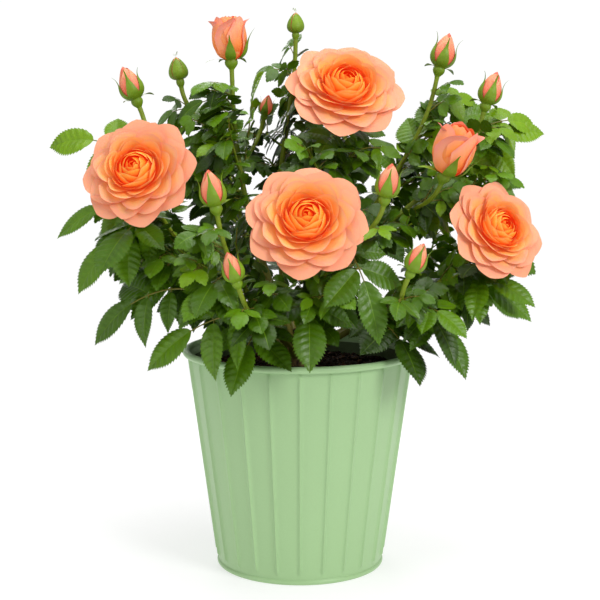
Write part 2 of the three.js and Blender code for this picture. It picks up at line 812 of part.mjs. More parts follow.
function bloomHead() {
  const r = BLOOM_RADIUS;
  const body = turnedFlower(
    [
      ...urn(4.6),
      [0.55 * r, 0.3 * r],
      [r, 0.5 * r, 8, 0.13],
      [0.56 * r, 0.5 * r],
      [0.66 * r, 0.72 * r, 8, 0.14],
      [0.4 * r, 0.66 * r],
      [0.34 * r, 0.86 * r, 4, 0.16],
      [0, 0.78 * r],
    ],
    16,
  );
  return body;
}

function cupHead() {
  const l = BUD_LENGTH;
  const body = turnedFlower(
    [
      ...urn(4),
      [0.42 * l, 0.5 * l],
      [0.5 * l, 0.85 * l],
      [0.56 * l, 1.12 * l, 5, 0.18],
      [0.3 * l, 0.95 * l],
      [0.26 * l, 1.2 * l],
      [0, 1.14 * l],
    ],
    10,
  );
  return join([body, ...sepals(0.7 * l, 1.7, 5)]);
}

// A bud with a belly of this radius and a closed tip.
function closedHead(belly, length, sepalOpening) {
  const body = turnedFlower(
    [
      ...urn(3.6),
      [belly, 6.5 + length * 0.38],
      [belly * 0.8, 6.5 + length * 0.72],
      [0, 6.5 + length],
    ],
    6,
  );
  return join([body, ...sepals(0.72 * BUD_LENGTH, sepalOpening, 5)]);
}

const HEADS = {
  bloom: bloomHead(),
  cup: cupHead(),
  bud: closedHead(0.32 * BUD_LENGTH, 0.82 * BUD_LENGTH, 0.6),
  green_bud: closedHead(0.25 * BUD_LENGTH, 0.62 * BUD_LENGTH, 0.38),
};

// A flower on its stalk. The stalk runs on from the twig that carries it.
function makeFlower(flower, path, from) {
  const turn = new THREE.Quaternion().setFromUnitVectors(UP, facing(flower.faces));
  const place = new THREE.Matrix4().compose(
    vec(flower.base),
    turn,
    new THREE.Vector3(1, 1, 1).multiplyScalar(flower.size),
  );
  const head = geometryOf(HEADS[flower.kind]).applyMatrix4(place);
  const stalk = limb(path, from + gapShare(path), 1, STALK_RADIUS, STALK_RADIUS, 4, 2);
  return join([solidOf(head), stalk]);
}

// ---------------------------------------------------------------- the whole plant

const finish = (color, roughness, metalness) =>
  new THREE.MeshStandardMaterial({ color, roughness, metalness });

const paintedSteel = finish(0x9fc48e, 0.42, 0.1);
const pottingSoil = finish(0x2c1e16, 0.95, 0);
const oldWood = finish(0x6b5a35, 0.8, 0);
const greenBark = finish(0x6f8a2c, 0.5, 0);
const leafGreen = finish(0x3f6f22, 0.4, 0);
const peachPetal = finish(0xf59a63, 0.6, 0);

const rose = new THREE.Group();

function add(name, solid, material) {
  const mesh = new THREE.Mesh(geometryOf(solid), material);
  mesh.name = name;
  rose.add(mesh);
}

add("pot", makePot(), paintedSteel);
add("soil", makeSoil(), pottingSoil);
add("rootstock", makeRootstock(0), oldWood);

layOutShoots();
SHOOTS.forEach((shoot, owner) => {
  addGuides(shoot.path, 0, ENTRY, owner, BOUGH_RADIUS, true);
  addGuides(shoot.path, ENTRY + 0.03, NECK - 0.03, owner, STEM_RADIUS, false);
  addGuides(shoot.path, NECK, 1, owner, STALK_RADIUS, true);
  for (const side of shoot.sides) {
    layOutSide(shoot, side);
    addGuides(side.path, 0, SIDE_NECK - 0.03, owner, SIDE_TWIG_RADIUS, false);
    addGuides(side.path, SIDE_NECK, 1, owner, STALK_RADIUS, true);
  }
});
SHOOTS.forEach(layOutTwigs);
SHOOTS.forEach((shoot, owner) => {
  const roots = [];
  shoot.outerLeaves = shoot.sprays.flatMap((spray) => outerLeaf(shoot, spray, owner, roots));
});

SHOOTS.forEach((shoot, owner) => {
  const { name, flower, path, sides } = shoot;
  add("bough_" + name, makeBough(path), greenBark);
  add("foliage_" + name, makeMass(shoot, owner), leafGreen);
  add(flower.kind + "_" + name, makeFlower(flower, path, NECK), peachPetal);
  for (const side of sides) {
    add(side.kind + "_beside_" + name, makeFlower(side, side.path, SIDE_NECK), peachPetal);
  }
});

export default rose;
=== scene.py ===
# %% [markdown]
# # A peach patio rose in a ribbed metal pot
#
# One rootstock stands in a painted pot of 16 cm and bears thirteen shoots. Each shoot is a
# bare bough, a mass of leafy twigs and a flower. The solids of the plant are plain, so this
# lesson grows the same plant again by the same rule and carries it on: more twigs and
# leaves, leaflets with teeth and veins, and flowers made petal by petal.
#
# The solids come in first and set the frame. Their box is kept, and the leaves are
# grown inside it.

# %% Load the frame
import math

import bpy
import numpy as np
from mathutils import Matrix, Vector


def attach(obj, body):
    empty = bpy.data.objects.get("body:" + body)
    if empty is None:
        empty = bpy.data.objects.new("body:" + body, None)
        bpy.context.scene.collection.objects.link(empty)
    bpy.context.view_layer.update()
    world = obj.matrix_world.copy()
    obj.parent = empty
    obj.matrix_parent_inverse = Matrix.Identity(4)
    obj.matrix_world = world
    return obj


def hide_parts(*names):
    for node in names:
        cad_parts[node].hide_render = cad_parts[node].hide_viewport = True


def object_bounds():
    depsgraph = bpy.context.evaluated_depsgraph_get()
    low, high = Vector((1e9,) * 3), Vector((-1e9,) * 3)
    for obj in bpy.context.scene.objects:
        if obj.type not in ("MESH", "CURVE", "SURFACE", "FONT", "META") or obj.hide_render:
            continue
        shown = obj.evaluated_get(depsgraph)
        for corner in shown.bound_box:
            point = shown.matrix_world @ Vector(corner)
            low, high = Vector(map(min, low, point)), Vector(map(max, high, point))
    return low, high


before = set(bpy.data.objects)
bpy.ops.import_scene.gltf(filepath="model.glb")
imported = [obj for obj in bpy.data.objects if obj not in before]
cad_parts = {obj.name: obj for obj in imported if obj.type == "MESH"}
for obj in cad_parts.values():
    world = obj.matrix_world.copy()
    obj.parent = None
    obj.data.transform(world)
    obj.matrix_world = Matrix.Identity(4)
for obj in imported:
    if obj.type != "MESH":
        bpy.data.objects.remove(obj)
cad_low, cad_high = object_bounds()

print("solids", len(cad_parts), "box", [round(v, 3) for v in (*cad_low, *cad_high)])

# %% [markdown]
# ## Camera
#
# A portrait of a small plant is taken from a metre away with a short telephoto lens, a
# little above the pot and tipped down, so that the rim shows as a thin ellipse with the soil
# inside it. Longer lenses would flatten that ellipse and shorter ones would swell the
# flowers in front.

# %% Camera
MM = 0.001
EYE = (0, -950 * MM, 309 * MM)
TIPPED_DOWN = 7.6
LENS, SENSOR = 84.4, 36

camera = bpy.data.objects.new("camera", bpy.data.cameras.new("camera"))
bpy.context.collection.objects.link(camera)
camera.location = EYE
camera.rotation_euler = (math.radians(90 - TIPPED_DOWN), 0, 0)
camera.data.lens = LENS
camera.data.sensor_width = SENSOR
camera.data.dof.use_dof = False
bpy.context.scene.camera = camera
print("camera", tuple(round(v, 3) for v in camera.location), "lens", camera.data.lens)

# %% [markdown]
# ## Writing finishes as sums
#
# A finish is a small tree of nodes. `Wire` wraps one output of that tree, and its operators
# add the Math nodes, so a mask can be written as `1 - ridge * 0.5`. `Finish` owns the
# material, and its `node` method makes every other node from its type, its settings and
# the values or wires of its sockets. Colours are mixed by a Mix node, because a Math node
# would turn them grey.

# %% Wires
class Wire:
    """One output of a finish's nodes."""

    def __init__(self, finish, socket):
        self.finish = finish
        self.socket = socket

    def math(self, operation, first, second):
        return self.finish.node("ShaderNodeMath", {"operation": operation}, {0: first, 1: second})

    def __add__(self, other):
        return self.math("ADD", self, other)

    def __sub__(self, other):
        return self.math("SUBTRACT", self, other)

    def __mul__(self, other):
        return self.math("MULTIPLY", self, other)

    def __rsub__(self, other):
        return self.math("SUBTRACT", other, self)

    __radd__ = __add__
    __rmul__ = __mul__


print("a wire takes + - and *, from either side")

# %% [markdown]
# ## Finishes
#
# A finish starts as plain numbers on the surface's own sockets. What varies over the piece
# is wired in afterwards by `wear`. Noise is laid in the piece's own space and drives
# colour, gloss and fine relief together, as real wear does.

# %% Finishes
class Finish:
    """A material and the nodes that make it."""

    def __init__(self, name, values):
        self.material = bpy.data.materials.new(name)
        self.material.use_nodes = True
        self.nodes = self.material.node_tree.nodes
        self.links = self.material.node_tree.links
        self.surface = self.nodes["Principled BSDF"]
        self.feed(self.surface, values)

    def feed(self, node, values):
        for key, value in values.items():
            socket = node.inputs[key]
            if isinstance(value, Wire):
                self.links.new(value.socket, socket)
            elif isinstance(value, tuple) and len(value) == 3 and socket.type == "RGBA":
                socket.default_value = (*value, 1)
            else:
                socket.default_value = value

    def node(self, kind, settings, values, out=0):
        made = self.nodes.new(kind)
        for key, value in settings.items():
            if key == "stops":
                self.set_stops(made.color_ramp, value)
            else:
                setattr(made, key, value)
        self.feed(made, values)
        return Wire(self, made.outputs[out])

    def set_stops(self, ramp, stops):
        while len(ramp.elements) < len(stops):
            ramp.elements.new(1)
        for element, (place, colour) in zip(ramp.elements, stops):
            element.position = place
            element.color = (*colour, 1)

    def mix(self, share, first, second):
        """A colour between two, by a share from 0 to 1."""
        return self.node(
            "ShaderNodeMix", {"data_type": "RGBA"}, {0: share, 6: first, 7: second}, out=2
        )

    def ramp(self, share, stops):
        return self.node("ShaderNodeValToRGB", {"stops": stops}, {0: share})

    def noise(self, scale, detail=3, stretch=(1, 1, 1)):
        """Noise in the piece's own space: scale is in grains a metre."""
        place = self.node("ShaderNodeTexCoord", {}, {}, out=3)
        spread = self.node("ShaderNodeMapping", {}, {0: place, 3: stretch})
        return self.node(
            "ShaderNodeTexNoise", {}, {"Vector": spread, "Scale": scale, "Detail": detail}
        )

    def bump(self, height, distance, strength=1.0):
        """Relief of this depth in metres, from a height between 0 and 1."""
        return self.node(
            "ShaderNodeBump", {}, {"Height": height, "Distance": distance, "Strength": strength}
        )

    def wear(self, **wires):
        """Feeds the surface's sockets by name, with underscores for spaces."""
        self.feed(self.surface, {key.replace("_", " "): wire for key, wire in wires.items()})
        return self


def paint(red, green, blue):
    """A screen colour, 0 to 255, as the linear colour that nodes take."""
    parts = [v / 255 for v in (red, green, blue)]
    return tuple(v / 12.92 if v <= 0.04045 else ((v + 0.055) / 1.055) ** 2.4 for v in parts)


print("mid grey in linear light", [round(v, 3) for v in paint(128, 128, 128)])

# %% [markdown]
# ## Studio
#
# The plant stands on a small white table in a white room. A wide lamp overhead makes the
# table bright and leaves the inside of the crown dark. A key lamp at the upper right
# models the flowers and the pot, weak ones fill the left and the back. The room lights the
# plant less than it shows itself, so the backdrop is clean white and the shade keeps
# its depth. Colours are shown as they are, without the film curve that would dull the petals.

# %% Studio
def lamp(name, place, aim, size, power):
    """A square soft box at `place`, turned towards `aim`."""
    light = bpy.data.lights.new(name, "AREA")
    light.size = size
    light.energy = power
    box = bpy.data.objects.new(name, light)
    bpy.context.collection.objects.link(box)
    box.location = place
    way = np.array(aim) - np.array(place)
    flat = math.hypot(way[0], way[1])
    box.rotation_euler = (math.atan2(flat, -way[2]), 0, math.atan2(way[1], way[0]) - math.pi / 2)


LAMPS = (
    # name, place and aim in metres, size, power in watts
    ("overhead", (0.05, -0.1, 1.5), (0, 0, 0), 1.1, 12),
    ("key", (0.9, -1.0, 0.95), (0, 0, 0.2), 0.5, 12),
    ("fill", (-1.2, -0.9, 0.6), (0, 0, 0.2), 0.8, 3.5),
    ("back", (-0.3, 1.3, 0.9), (0, 0, 0.25), 0.8, 5),
)
for row in LAMPS:
    lamp(*row)

bpy.context.scene.view_settings.view_transform = "Standard"
ROOM_LIGHT, BACKDROP_LIGHT = 0.5, 1.02
world = bpy.data.worlds.new("room")
bpy.context.scene.world = world
world.use_nodes = True
nodes, links = world.node_tree.nodes, world.node_tree.links
walls_lighting, walls_seen = nodes["Background"], nodes.new("ShaderNodeBackground")
for walls, strength in ((walls_lighting, ROOM_LIGHT), (walls_seen, BACKDROP_LIGHT)):
    walls.inputs["Color"].default_value = (1, 1, 1, 1)
    walls.inputs["Strength"].default_value = strength
choice = nodes.new("ShaderNodeMixShader")
links.new(nodes.new("ShaderNodeLightPath").outputs["Is Camera Ray"], choice.inputs[0])
links.new(walls_lighting.outputs[0], choice.inputs[1])
links.new(walls_seen.outputs[0], choice.inputs[2])
links.new(choice.outputs[0], nodes["World Output"].inputs["Surface"])

TABLE_RADIUS, TABLE_CORNERS = 0.62, 96
TABLE_WHITE, TABLE_GLOW = 0.46, 0.58
floor_mesh = bpy.data.meshes.new("table")
edge = [k * 2 * math.pi / TABLE_CORNERS for k in range(TABLE_CORNERS)]
corners = [(TABLE_RADIUS * math.cos(a), TABLE_RADIUS * math.sin(a), 0) for a in edge]
floor_mesh.from_pydata(corners, [], [range(TABLE_CORNERS)])
table = bpy.data.objects.new("table", floor_mesh)
bpy.context.collection.objects.link(table)
table_white = Finish(
    "table_white",
    {
        "Base Color": (TABLE_WHITE,) * 3,
        "Emission Color": (1, 1, 1),
        "Emission Strength": TABLE_GLOW,
    },
)
table_white.wear(Roughness=0.8 + table_white.noise(600) * 0.1)
floor_mesh.materials.append(table_white.material)

# %% [markdown]
# ## Skins
#
# Every piece here is a bent sheet or a tube: a grid of points with faces between them. A
# `Skin` gathers many grids and turns them into one joined mesh, which is far quicker than
# an object for each leaf. A grid may carry a finish number and a tone for each point, which
# the petals use to fade from a deep heart to a pale rim.

# %% Skins
class Skin:
    """Grids of points, gathered for one mesh. Lengths are in millimetres."""

    def __init__(self):
        self.points = []
        self.tones = []
        self.faces = []
        self.finishes = []
        self.count = 0

    def add(self, grid, finish=0, tone=0.0, closed=False):
        """A grid of rows and columns. `finish` and `tone` may vary over it, and a
        closed grid joins its last column to its first."""
        rows, columns = grid.shape[:2]
        across = columns if closed else columns - 1
        i, j = np.meshgrid(np.arange(rows - 1), np.arange(across), indexing="ij")
        here = self.count + i * columns + j
        beside = self.count + i * columns + (j + 1) % columns
        quads = np.stack([here, beside, beside + columns, here + columns], axis=-1)
        self.points.append(grid.reshape(-1, 3))
        self.tones.append(np.broadcast_to(tone, (rows, columns)).ravel())
        self.faces.append(quads.reshape(-1, 4))
        self.finishes.append(np.broadcast_to(finish, (rows - 1, across)).ravel())
        self.count += rows * columns

    def piece(self, name, finishes, slot, *nodes):
        """Makes the object, gives it its finishes and hands it to the frame."""
        points = np.concatenate(self.points) * MM
        faces = np.concatenate(self.faces)
        mesh = bpy.data.meshes.new(name)
        mesh.vertices.add(len(points))
        mesh.vertices.foreach_set("co", points.ravel())
        mesh.loops.add(faces.size)
        mesh.loops.foreach_set("vertex_index", faces.ravel())
        mesh.polygons.add(len(faces))
        mesh.polygons.foreach_set("loop_start", np.arange(0, faces.size, 4))
        mesh.polygons.foreach_set("material_index", np.concatenate(self.finishes))
        mesh.polygons.foreach_set("use_smooth", np.ones(len(faces), bool))
        tone = mesh.attributes.new("tone", "FLOAT", "POINT")
        tone.data.foreach_set("value", np.concatenate(self.tones))
        mesh.update(calc_edges=True)
        for finish in finishes:
            mesh.materials.append(finish.material)
        made = bpy.data.objects.new(name, mesh)
        bpy.context.collection.objects.link(made)
        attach(made, "root")
        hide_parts(*nodes)


def blend(first, second, share):
    return first + (second - first) * share


def whole_turn(count):
    """As many turns, evenly spread over a circle."""
    return np.linspace(0, 2 * math.pi, count, endpoint=False)


def ring(radius, height, turns):
    """Points at these radii and heights, one for each turn about Z."""
    return np.stack(
        [radius * np.cos(turns), radius * np.sin(turns), height + 0 * turns], axis=-1
    )


print("turns of four columns", whole_turn(4).round(2))

# %% [markdown]
# ## Pot: the metal
#
# The pot is a tapered bucket rolled from thin steel. Its top edge is curled outwards over a
# wire, a bead stiffens its foot, and upright creases pressed into the sheet every fifteen
# degrees keep it from denting. The wall is one profile turned about the axis. The columns
# of the grid crowd together at each crease, where a narrow ridge is added to the radius, so
# the ridge stays crisp and the panels between stay smooth.

# %% Pot shell
POT_HEIGHT = 150
RIM_RADIUS = 80
RIM_ROLL = 2.3
TOP_RADIUS = 76.4
FOOT_RADIUS = 56
FOOT_BEAD = 1.5
WALL = 2
RIBS = 24
RIB_WIDTH = 0.85
RIB_HEIGHT = 1.6
RIB_FROM = 7
RIB_TO = 142.6
SOIL_EDGE = 134
INSIDE_ROWS = 12
SOIL_TOP = 138
UNDERSIDE_LIFT = 0.6
BEAD_HALF = 1.75
NEAR_AXIS = 0.1


def wall_radius(z):
    return blend(FOOT_RADIUS, TOP_RADIUS, z / POT_HEIGHT)


def pot_profile():
    """Radius, height and how far the ribs show, from the underside up and over the rim."""
    rows = [(NEAR_AXIS, UNDERSIDE_LIFT, 0), (FOOT_RADIUS - 3.5, UNDERSIDE_LIFT, 0)]
    rows.append((FOOT_RADIUS - 1.6, 0, 0))
    for angle in np.linspace(-80, 75, 9):
        out, up = math.cos(math.radians(angle)), math.sin(math.radians(angle))
        rows.append(
            (FOOT_RADIUS - 0.1 + (FOOT_BEAD + 0.1) * out, BEAD_HALF + BEAD_HALF * up, 0)
        )
    wall = [(3.9, 0), (5, 0), (RIB_FROM, 0), (RIB_FROM + 1.5, 1)]
    wall += [(z, 1) for z in np.linspace(RIB_FROM + 4, RIB_TO - 2, 24)] + [(RIB_TO, 0.75)]
    rows += [(wall_radius(z), z, ribbed) for z, ribbed in wall]
    neck = POT_HEIGHT - 2 * RIM_ROLL - 0.6
    rows.append((wall_radius(neck) - 0.2, neck, 0.25))
    rows.append((wall_radius(neck) - 0.1, neck + 0.7, 0))
    middle = RIM_RADIUS - RIM_ROLL
    for angle in np.linspace(-118, 205, 20):
        out, up = math.cos(math.radians(angle)), math.sin(math.radians(angle))
        rows.append((middle + RIM_ROLL * out, POT_HEIGHT - RIM_ROLL + RIM_ROLL * up, 0))
    for z in np.linspace(neck, SOIL_EDGE - 12, INSIDE_ROWS):
        rows.append((wall_radius(z) - WALL, z, 0))
    return np.array(rows)


def pot_turns():
    """Turns round the pot, crowded at each rib, with their distance from it in mm."""
    step = 2 * math.pi / RIBS
    near = np.array([-2.6, -1.3, -0.85, -0.5, -0.2, 0.2, 0.5, 0.85, 1.3, 2.6]) * RIB_WIDTH
    panel = np.linspace(0.2, 0.8, 5) * step
    turns, away = [], []
    for k in range(RIBS):
        start = -math.pi / 2 + k * step
        turns += [start + d / FOOT_RADIUS for d in near] + [start + d for d in panel]
        away += list(near) + [99] * len(panel)
    return np.array(turns), np.array(away)


profile = pot_profile()
turns, away = pot_turns()
ridge = RIB_HEIGHT * np.exp(-((away / RIB_WIDTH) ** 2))
radius = profile[:, :1] + profile[:, 2:] * ridge
pot = Skin()
inside = np.arange(len(profile) - 1)[:, None] > len(profile) - INSIDE_ROWS
# the inner rows take the second finish, the painted shade of the inner wall
pot.add(ring(radius, profile[:, 1:2], turns), finish=inside * 1, closed=True)
print("pot points", pot.count)

# %% [markdown]
# ## Pot: the paint
#
# The paint is a satin sage green, sprayed and baked. Sprayed paint is never quite even: it
# pools a little thinner here and there, which shows as a faint cloud in the colour and in
# the gloss, and its skin has a fine orange-peel.
# Both are noise of a few sizes, kept weak. Above the soil the inside of the wall is
# painted a darker, duller mottled green, which is painted shade.

# %% Pot paint
sage = Finish("sage_paint", {"Coat Weight": 0.12, "Coat Roughness": 0.25})
cloud = sage.noise(22, detail=4, stretch=(1, 1, 0.4))
speck = sage.noise(900, detail=2)
green = sage.mix(cloud, paint(152, 187, 133), paint(162, 197, 143))
sage.wear(
    Base_Color=sage.mix(speck * 0.25, green, paint(138, 170, 120)),
    Roughness=0.36 + cloud * 0.1 + speck * 0.04,
    Normal=sage.bump(sage.noise(420, detail=2), 0.00008, 0.5),
)
# painted shade: the inner wall above the soil is painted a dark mottled green for the shade there
inside_shade = Finish("stained_inside", {"Specular IOR Level": 0.3})
shade_mottle = inside_shade.noise(60, detail=5)
inside_shade.wear(
    Base_Color=inside_shade.mix(shade_mottle, paint(62, 74, 48), paint(104, 124, 88)),
    Roughness=0.6 + shade_mottle * 0.2,
)
pot.piece("pot_shell", [sage, inside_shade], "pot_paint", "pot")
print("pot finishes", sage.material.name, inside_shade.material.name)

# %% [markdown]
# ## Soil
#
# Potting soil is a heap of crumbs: dark peat with bits of bark. A smooth disc would give
# it away at once, so the surface is a grid lifted by noise, sloping down to the wall,
# and some thousand crumbs are strewn over it. Each crumb is a lumpy ball of a few faces, half
# sunk. They are all one mesh.

# %% Soil
SOIL_SHOULDER = 135.6
SKIRT = 112
CRUMBS, BARK_SHARE = 1500, 0.18
ANY_TURN = 6.28  # the whole way round, as chance draws it
chance = np.random.default_rng(5)


def soil_height(out):
    """The soil's level at a distance from the axis."""
    inside = wall_radius(SOIL_EDGE) - WALL - 0.3
    levels = [SOIL_TOP, SOIL_TOP, SOIL_SHOULDER, SOIL_EDGE]
    return np.interp(out, [0, 24, inside - 6, inside], levels)


def lumps(x, y):
    """Rolling relief of the soil, from a few waves across each other."""
    total = np.zeros_like(x)
    for size, height in ((31, 0.6), (13, 0.5), (6.1, 0.45), (2.9, 0.35)):
        a, b, c = chance.uniform(0, ANY_TURN, 3)
        total += height * np.sin(x / size * ANY_TURN + a + 2 * np.sin(y / size * 3 + c))
        total += height * np.sin(y / size * ANY_TURN + b + 2 * np.sin(x / size * 3 + a))
    return total * 0.5


soil = Skin()
edge = wall_radius(SOIL_EDGE) - WALL - 0.35
skirt_edge = wall_radius(SKIRT) - WALL - 0.35
out = np.concatenate([np.linspace(0.2, edge, 70), [skirt_edge]])[:, None]
turns = whole_turn(260)
x, y = out * np.cos(turns), out * np.sin(turns)
relief = lumps(x, y) * np.clip((edge - out) / 6, 0.25, 1)
z = soil_height(out) + relief - 0.6
z[-1] = SKIRT
soil.add(np.stack([x, y, z], axis=-1), closed=True)

ball_rows = np.linspace(0.15, math.pi - 0.15, 4)[:, None]
ball = ring(np.sin(ball_rows), np.cos(ball_rows), whole_turn(6))
for _ in range(CRUMBS):
    size = min(2.6, 0.5 + chance.exponential(0.55))
    away = math.sqrt(chance.uniform(0, 1)) * (edge - 1.6 * size - 0.5)
    turn = chance.uniform(0, ANY_TURN)
    stretch = size * chance.uniform([0.7, 0.7, 0.45], [1.5, 1.2, 0.9])
    shape = ball * stretch * chance.uniform(0.75, 1.2, ball.shape)
    spin = chance.uniform(0, ANY_TURN)
    c, s = math.cos(spin), math.sin(spin)
    shape = shape @ np.array([[c, s, 0], [-s, c, 0], [0, 0, 1]])
    level = soil_height(away) + 0.15 * size
    place = (away * math.cos(turn), away * math.sin(turn), level)
    soil.add(shape + place, finish=int(chance.uniform() < BARK_SHARE), closed=True)


def grained(name, values, scale, detail, stretch, stops, depth):
    """A finish whose grain is both its colour and its relief."""
    made = Finish(name, values)
    grain = made.noise(scale, detail, stretch)
    made.wear(Base_Color=made.ramp(grain, stops), Normal=made.bump(grain, depth))
    return made


peat = Finish("peat", {"Roughness": 0.95, "Specular IOR Level": 0.2})
peat_stops = [(0.3, paint(22, 13, 8)), (0.55, paint(44, 27, 18)), (0.75, paint(74, 47, 30))]
peat.wear(
    Base_Color=peat.ramp(peat.noise(320, detail=5), peat_stops),
    Normal=peat.bump(peat.noise(1500, detail=4), 0.0006),
)
bark_bits = grained(
    "bark_bits", {"Roughness": 0.85, "Specular IOR Level": 0.25}, 500, 4, (1, 1, 4),
    [(0.3, paint(58, 34, 22)), (0.7, paint(112, 76, 50))], 0.0005,
)
soil.piece("soil_top", [peat, bark_bits], "potting_soil", "soil")
print("soil points", soil.count, "crumbs", CRUMBS)

# %% [markdown]
# ## The plan of the bush
#
# Each entry is one shoot: the flower at its end, the flowers beside it on twigs of their
# own, and the tips of the long leaves that hang out furthest. A flower has a kind, the
# place of its base in millimetres, the way it faces (compass from the front towards the
# right, and up from level, in degrees) and a size against a full one. Everything else
# is grown from this plan by rule, so a flower can be moved and the plant follows.

# %% Shoots
SHOOTS = {
    "left": (
        ("bloom", (-97, -66, 266), (-14, 28), 0.96),
        [("bud", (-105, -24, 313), (-80, 68), 0.95)],
        [(-166, -22, 288), (-160, -34, 228), (-146, -62, 196)],
    ),
    "upper_left": (
        ("cup", (-45, -12, 338), (-60, 86), 1),
        [
            ("green_bud", (-80, 8, 326), (-90, 80), 0.95),
            ("bud", (-25, 24, 304), (60, 76), 0.6),
        ],
        [(-26, -24, 336)],
    ),
    "top": (("green_bud", (-3, 20, 358), (0, 89), 0.85), [], []),
    "top_front": (("bloom", (28, -14, 314), (8, 42), 1.03), [], []),
    "top_right": (("bud", (93, 14, 334), (90, 74), 1), [], [(132, 24, 308)]),
    "right": (
        ("bud", (121, -16, 310), (80, 72), 0.92),
        [("cup", (91, -46, 265), (50, 66), 1.15)],
        [(164, -8, 297), (151, -6, 262), (169, 6, 231)],
    ),
    "low_right": (
        ("bloom", (119, -50, 229), (30, 27), 0.9),
        [("bud", (66, -98, 209), (85, 66), 0.8)],
        [(153, -38, 174), (108, -66, 141)],
    ),
    "front_left": (
        ("bud", (-50, -100, 248), (-70, 78), 0.95),
        [("bud", (-37, -108, 204), (-70, 72), 0.8)],
        [(-135, -62, 163), (-97, -78, 148)],
    ),
    "front": (
        ("bloom", (4, -84, 236), (0, 30), 1),
        [("bud", (51, -92, 253), (70, 78), 0.9)],
        [(6, -110, 153), (46, -112, 170)],
    ),
    "back_right": (
        ("bloom", (128, 52, 214), (125, 42), 0.9),
        [],
        [(104, 112, 232), (128, 90, 172)],
    ),
    "back": (
        ("cup", (35, 98, 307), (170, 74), 1.1),
        [("bloom", (9, 84, 220), (190, 38), 0.95)],
        [(60, 148, 196), (12, 140, 162)],
    ),
    "back_left": (
        ("green_bud", (-54, 92, 276), (205, 72), 1),
        [],
        [(-62, 140, 178), (-70, 146, 226)],
    ),
    "far_left": (
        ("bloom", (-106, 56, 260), (-120, 45), 0.8),
        [("green_bud", (-128, 4, 246), (-95, 62), 0.9)],
        [(-150, 66, 206), (-128, 60, 166)],
    ),
}

CLEAR = 0.3
STOCK_RADIUS = 9
STOCK_HEIGHT = 24
STOCK_TWIST = 0.4
STOCK_RINGS = ((7, 0.8), (20, 2.4))
ENTRY, NECK, SIDE_NECK = 0.28, 0.85, 0.6
BOUGH_RADIUS, STEM_RADIUS, STALK_RADIUS = 2.7, 2.0, 1.4
SIDE_TWIG_RADIUS, LEAFY_TWIG_RADIUS, TWIG_TIP_RADIUS = 1.3, 1.1, 0.8
BLOOM_RADIUS, BUD_LENGTH = 36, 27
GOLDEN_TURN = math.pi * (3 - math.sqrt(5))
UP = np.array([0.0, 0.0, 1.0])
print("shoots", len(SHOOTS), "flowers", sum(1 + len(sides) for _, sides, _ in SHOOTS.values()))

# %% [markdown]
# ## Curves, chance and directions
#
# Limbs follow Bezier curves, worked out for many places at once. Chance comes from
# a short arithmetic rule with a seed, the same one that set out the solids, so leaves fall
# where the solids have theirs and every run gives the same plant.

# %% Curves and chance
class Curve:
    """A Bezier curve through control points, in millimetres."""

    def __init__(self, *controls):
        self.controls = np.array(controls, float)

    def at(self, t):
        t = np.asarray(t, float)[..., None]
        points = [p + 0 * t for p in self.controls]
        while len(points) > 1:
            points = [blend(a, b, t) for a, b in zip(points, points[1:])]
        return points[0]

    def tangent(self, t):
        t = np.clip(t, 0, 1)
        low, high = np.clip(t - 1e-4, 0, 1), np.clip(t + 1e-4, 0, 1)
        return unit(self.at(high) - self.at(low))

    def length(self):
        return np.linalg.norm(np.diff(self.at(np.linspace(0, 1, 201)), axis=0), axis=1).sum()


class Chance:
    """Numbers from a seed, the same on every run."""

    def __init__(self, seed):
        self.state = seed
        for _ in range(4):
            self(0, 1)

    def __call__(self, low, high):
        self.state = (self.state * 1664525 + 1013904223) % 4294967296
        return low + (high - low) * self.state / 4294967296


def unit(v):
    return v / np.maximum(np.linalg.norm(v, axis=-1, keepdims=True), 1e-12)


def facing(faces):
    """The direction that a flower faces, from its two angles."""
    turn, rise = (math.radians(v) for v in faces)
    return np.array(
        [math.sin(turn) * math.cos(rise), -math.cos(turn) * math.cos(rise), math.sin(rise)]
    )


print("a chance from seed 35", round(Chance(35)(0, 1), 4))

# %% [markdown]
# ## Paths of the shoots
#
# A clump rose sends its shoots up from the rootstock all round. Those that lean far out
# leave it low, those that stand up leave it near the top. Each ring is spread evenly and
# then turned part of the way back towards its flowers, so no two boughs cross at the foot. A
# side flower's twig leaves the stem some way below it and follows the stem at first.

# %% Paths
def shoot_path(flower, turn, ring_of):
    _, base, faces, _ = flower
    height, rise = STOCK_RINGS[ring_of]
    out = np.array([math.cos(turn), math.sin(turn), 0])
    start = out * 0.8 * STOCK_RADIUS + UP * (SOIL_TOP + height)
    end = np.array(base, float)
    span = np.linalg.norm(end - start)
    first = start + out * span * 0.2 + UP * span * 0.2 * rise
    stalk = unit(facing(faces) + 0.7 * UP)
    return Curve(start, first, end - stalk * span * 0.3, end)


def lay_out_shoots():
    entries = []
    for name, (flower, _, _) in SHOOTS.items():
        x, y, z = flower[1]
        entries.append(((z - SOIL_TOP) / math.hypot(x, y), math.atan2(y, x), name))
    entries.sort(key=lambda entry: entry[0])
    half = math.ceil(len(entries) / 2)
    paths = {}
    for high, group in enumerate((entries[:half], entries[half:])):
        group.sort(key=lambda entry: entry[1])
        step = 2 * math.pi / len(group)
        phase = sum(entry[1] - k * step for k, entry in enumerate(group)) / len(group)
        for k, (_, turn, name) in enumerate(group):
            placed = blend(phase + k * step, turn, STOCK_TWIST)
            paths[name] = shoot_path(SHOOTS[name][0], placed, high)
    return paths


def side_path(path, flower):
    """The twig of a side flower, from well below it on the stem."""
    _, base, faces, _ = flower
    end = np.array(base, float)
    drop = max(30, 0.55 * (end[2] - path.at(ENTRY)[2]))
    at = ENTRY + 0.04
    while at < NECK - 0.1 and path.at(at)[2] < end[2] - drop:
        at += 0.01
    start = path.at(at)
    span = np.linalg.norm(end - start)
    first = start + path.tangent(at) * span * 0.35
    return Curve(start, first, end - facing(faces) * span * 0.4, end)


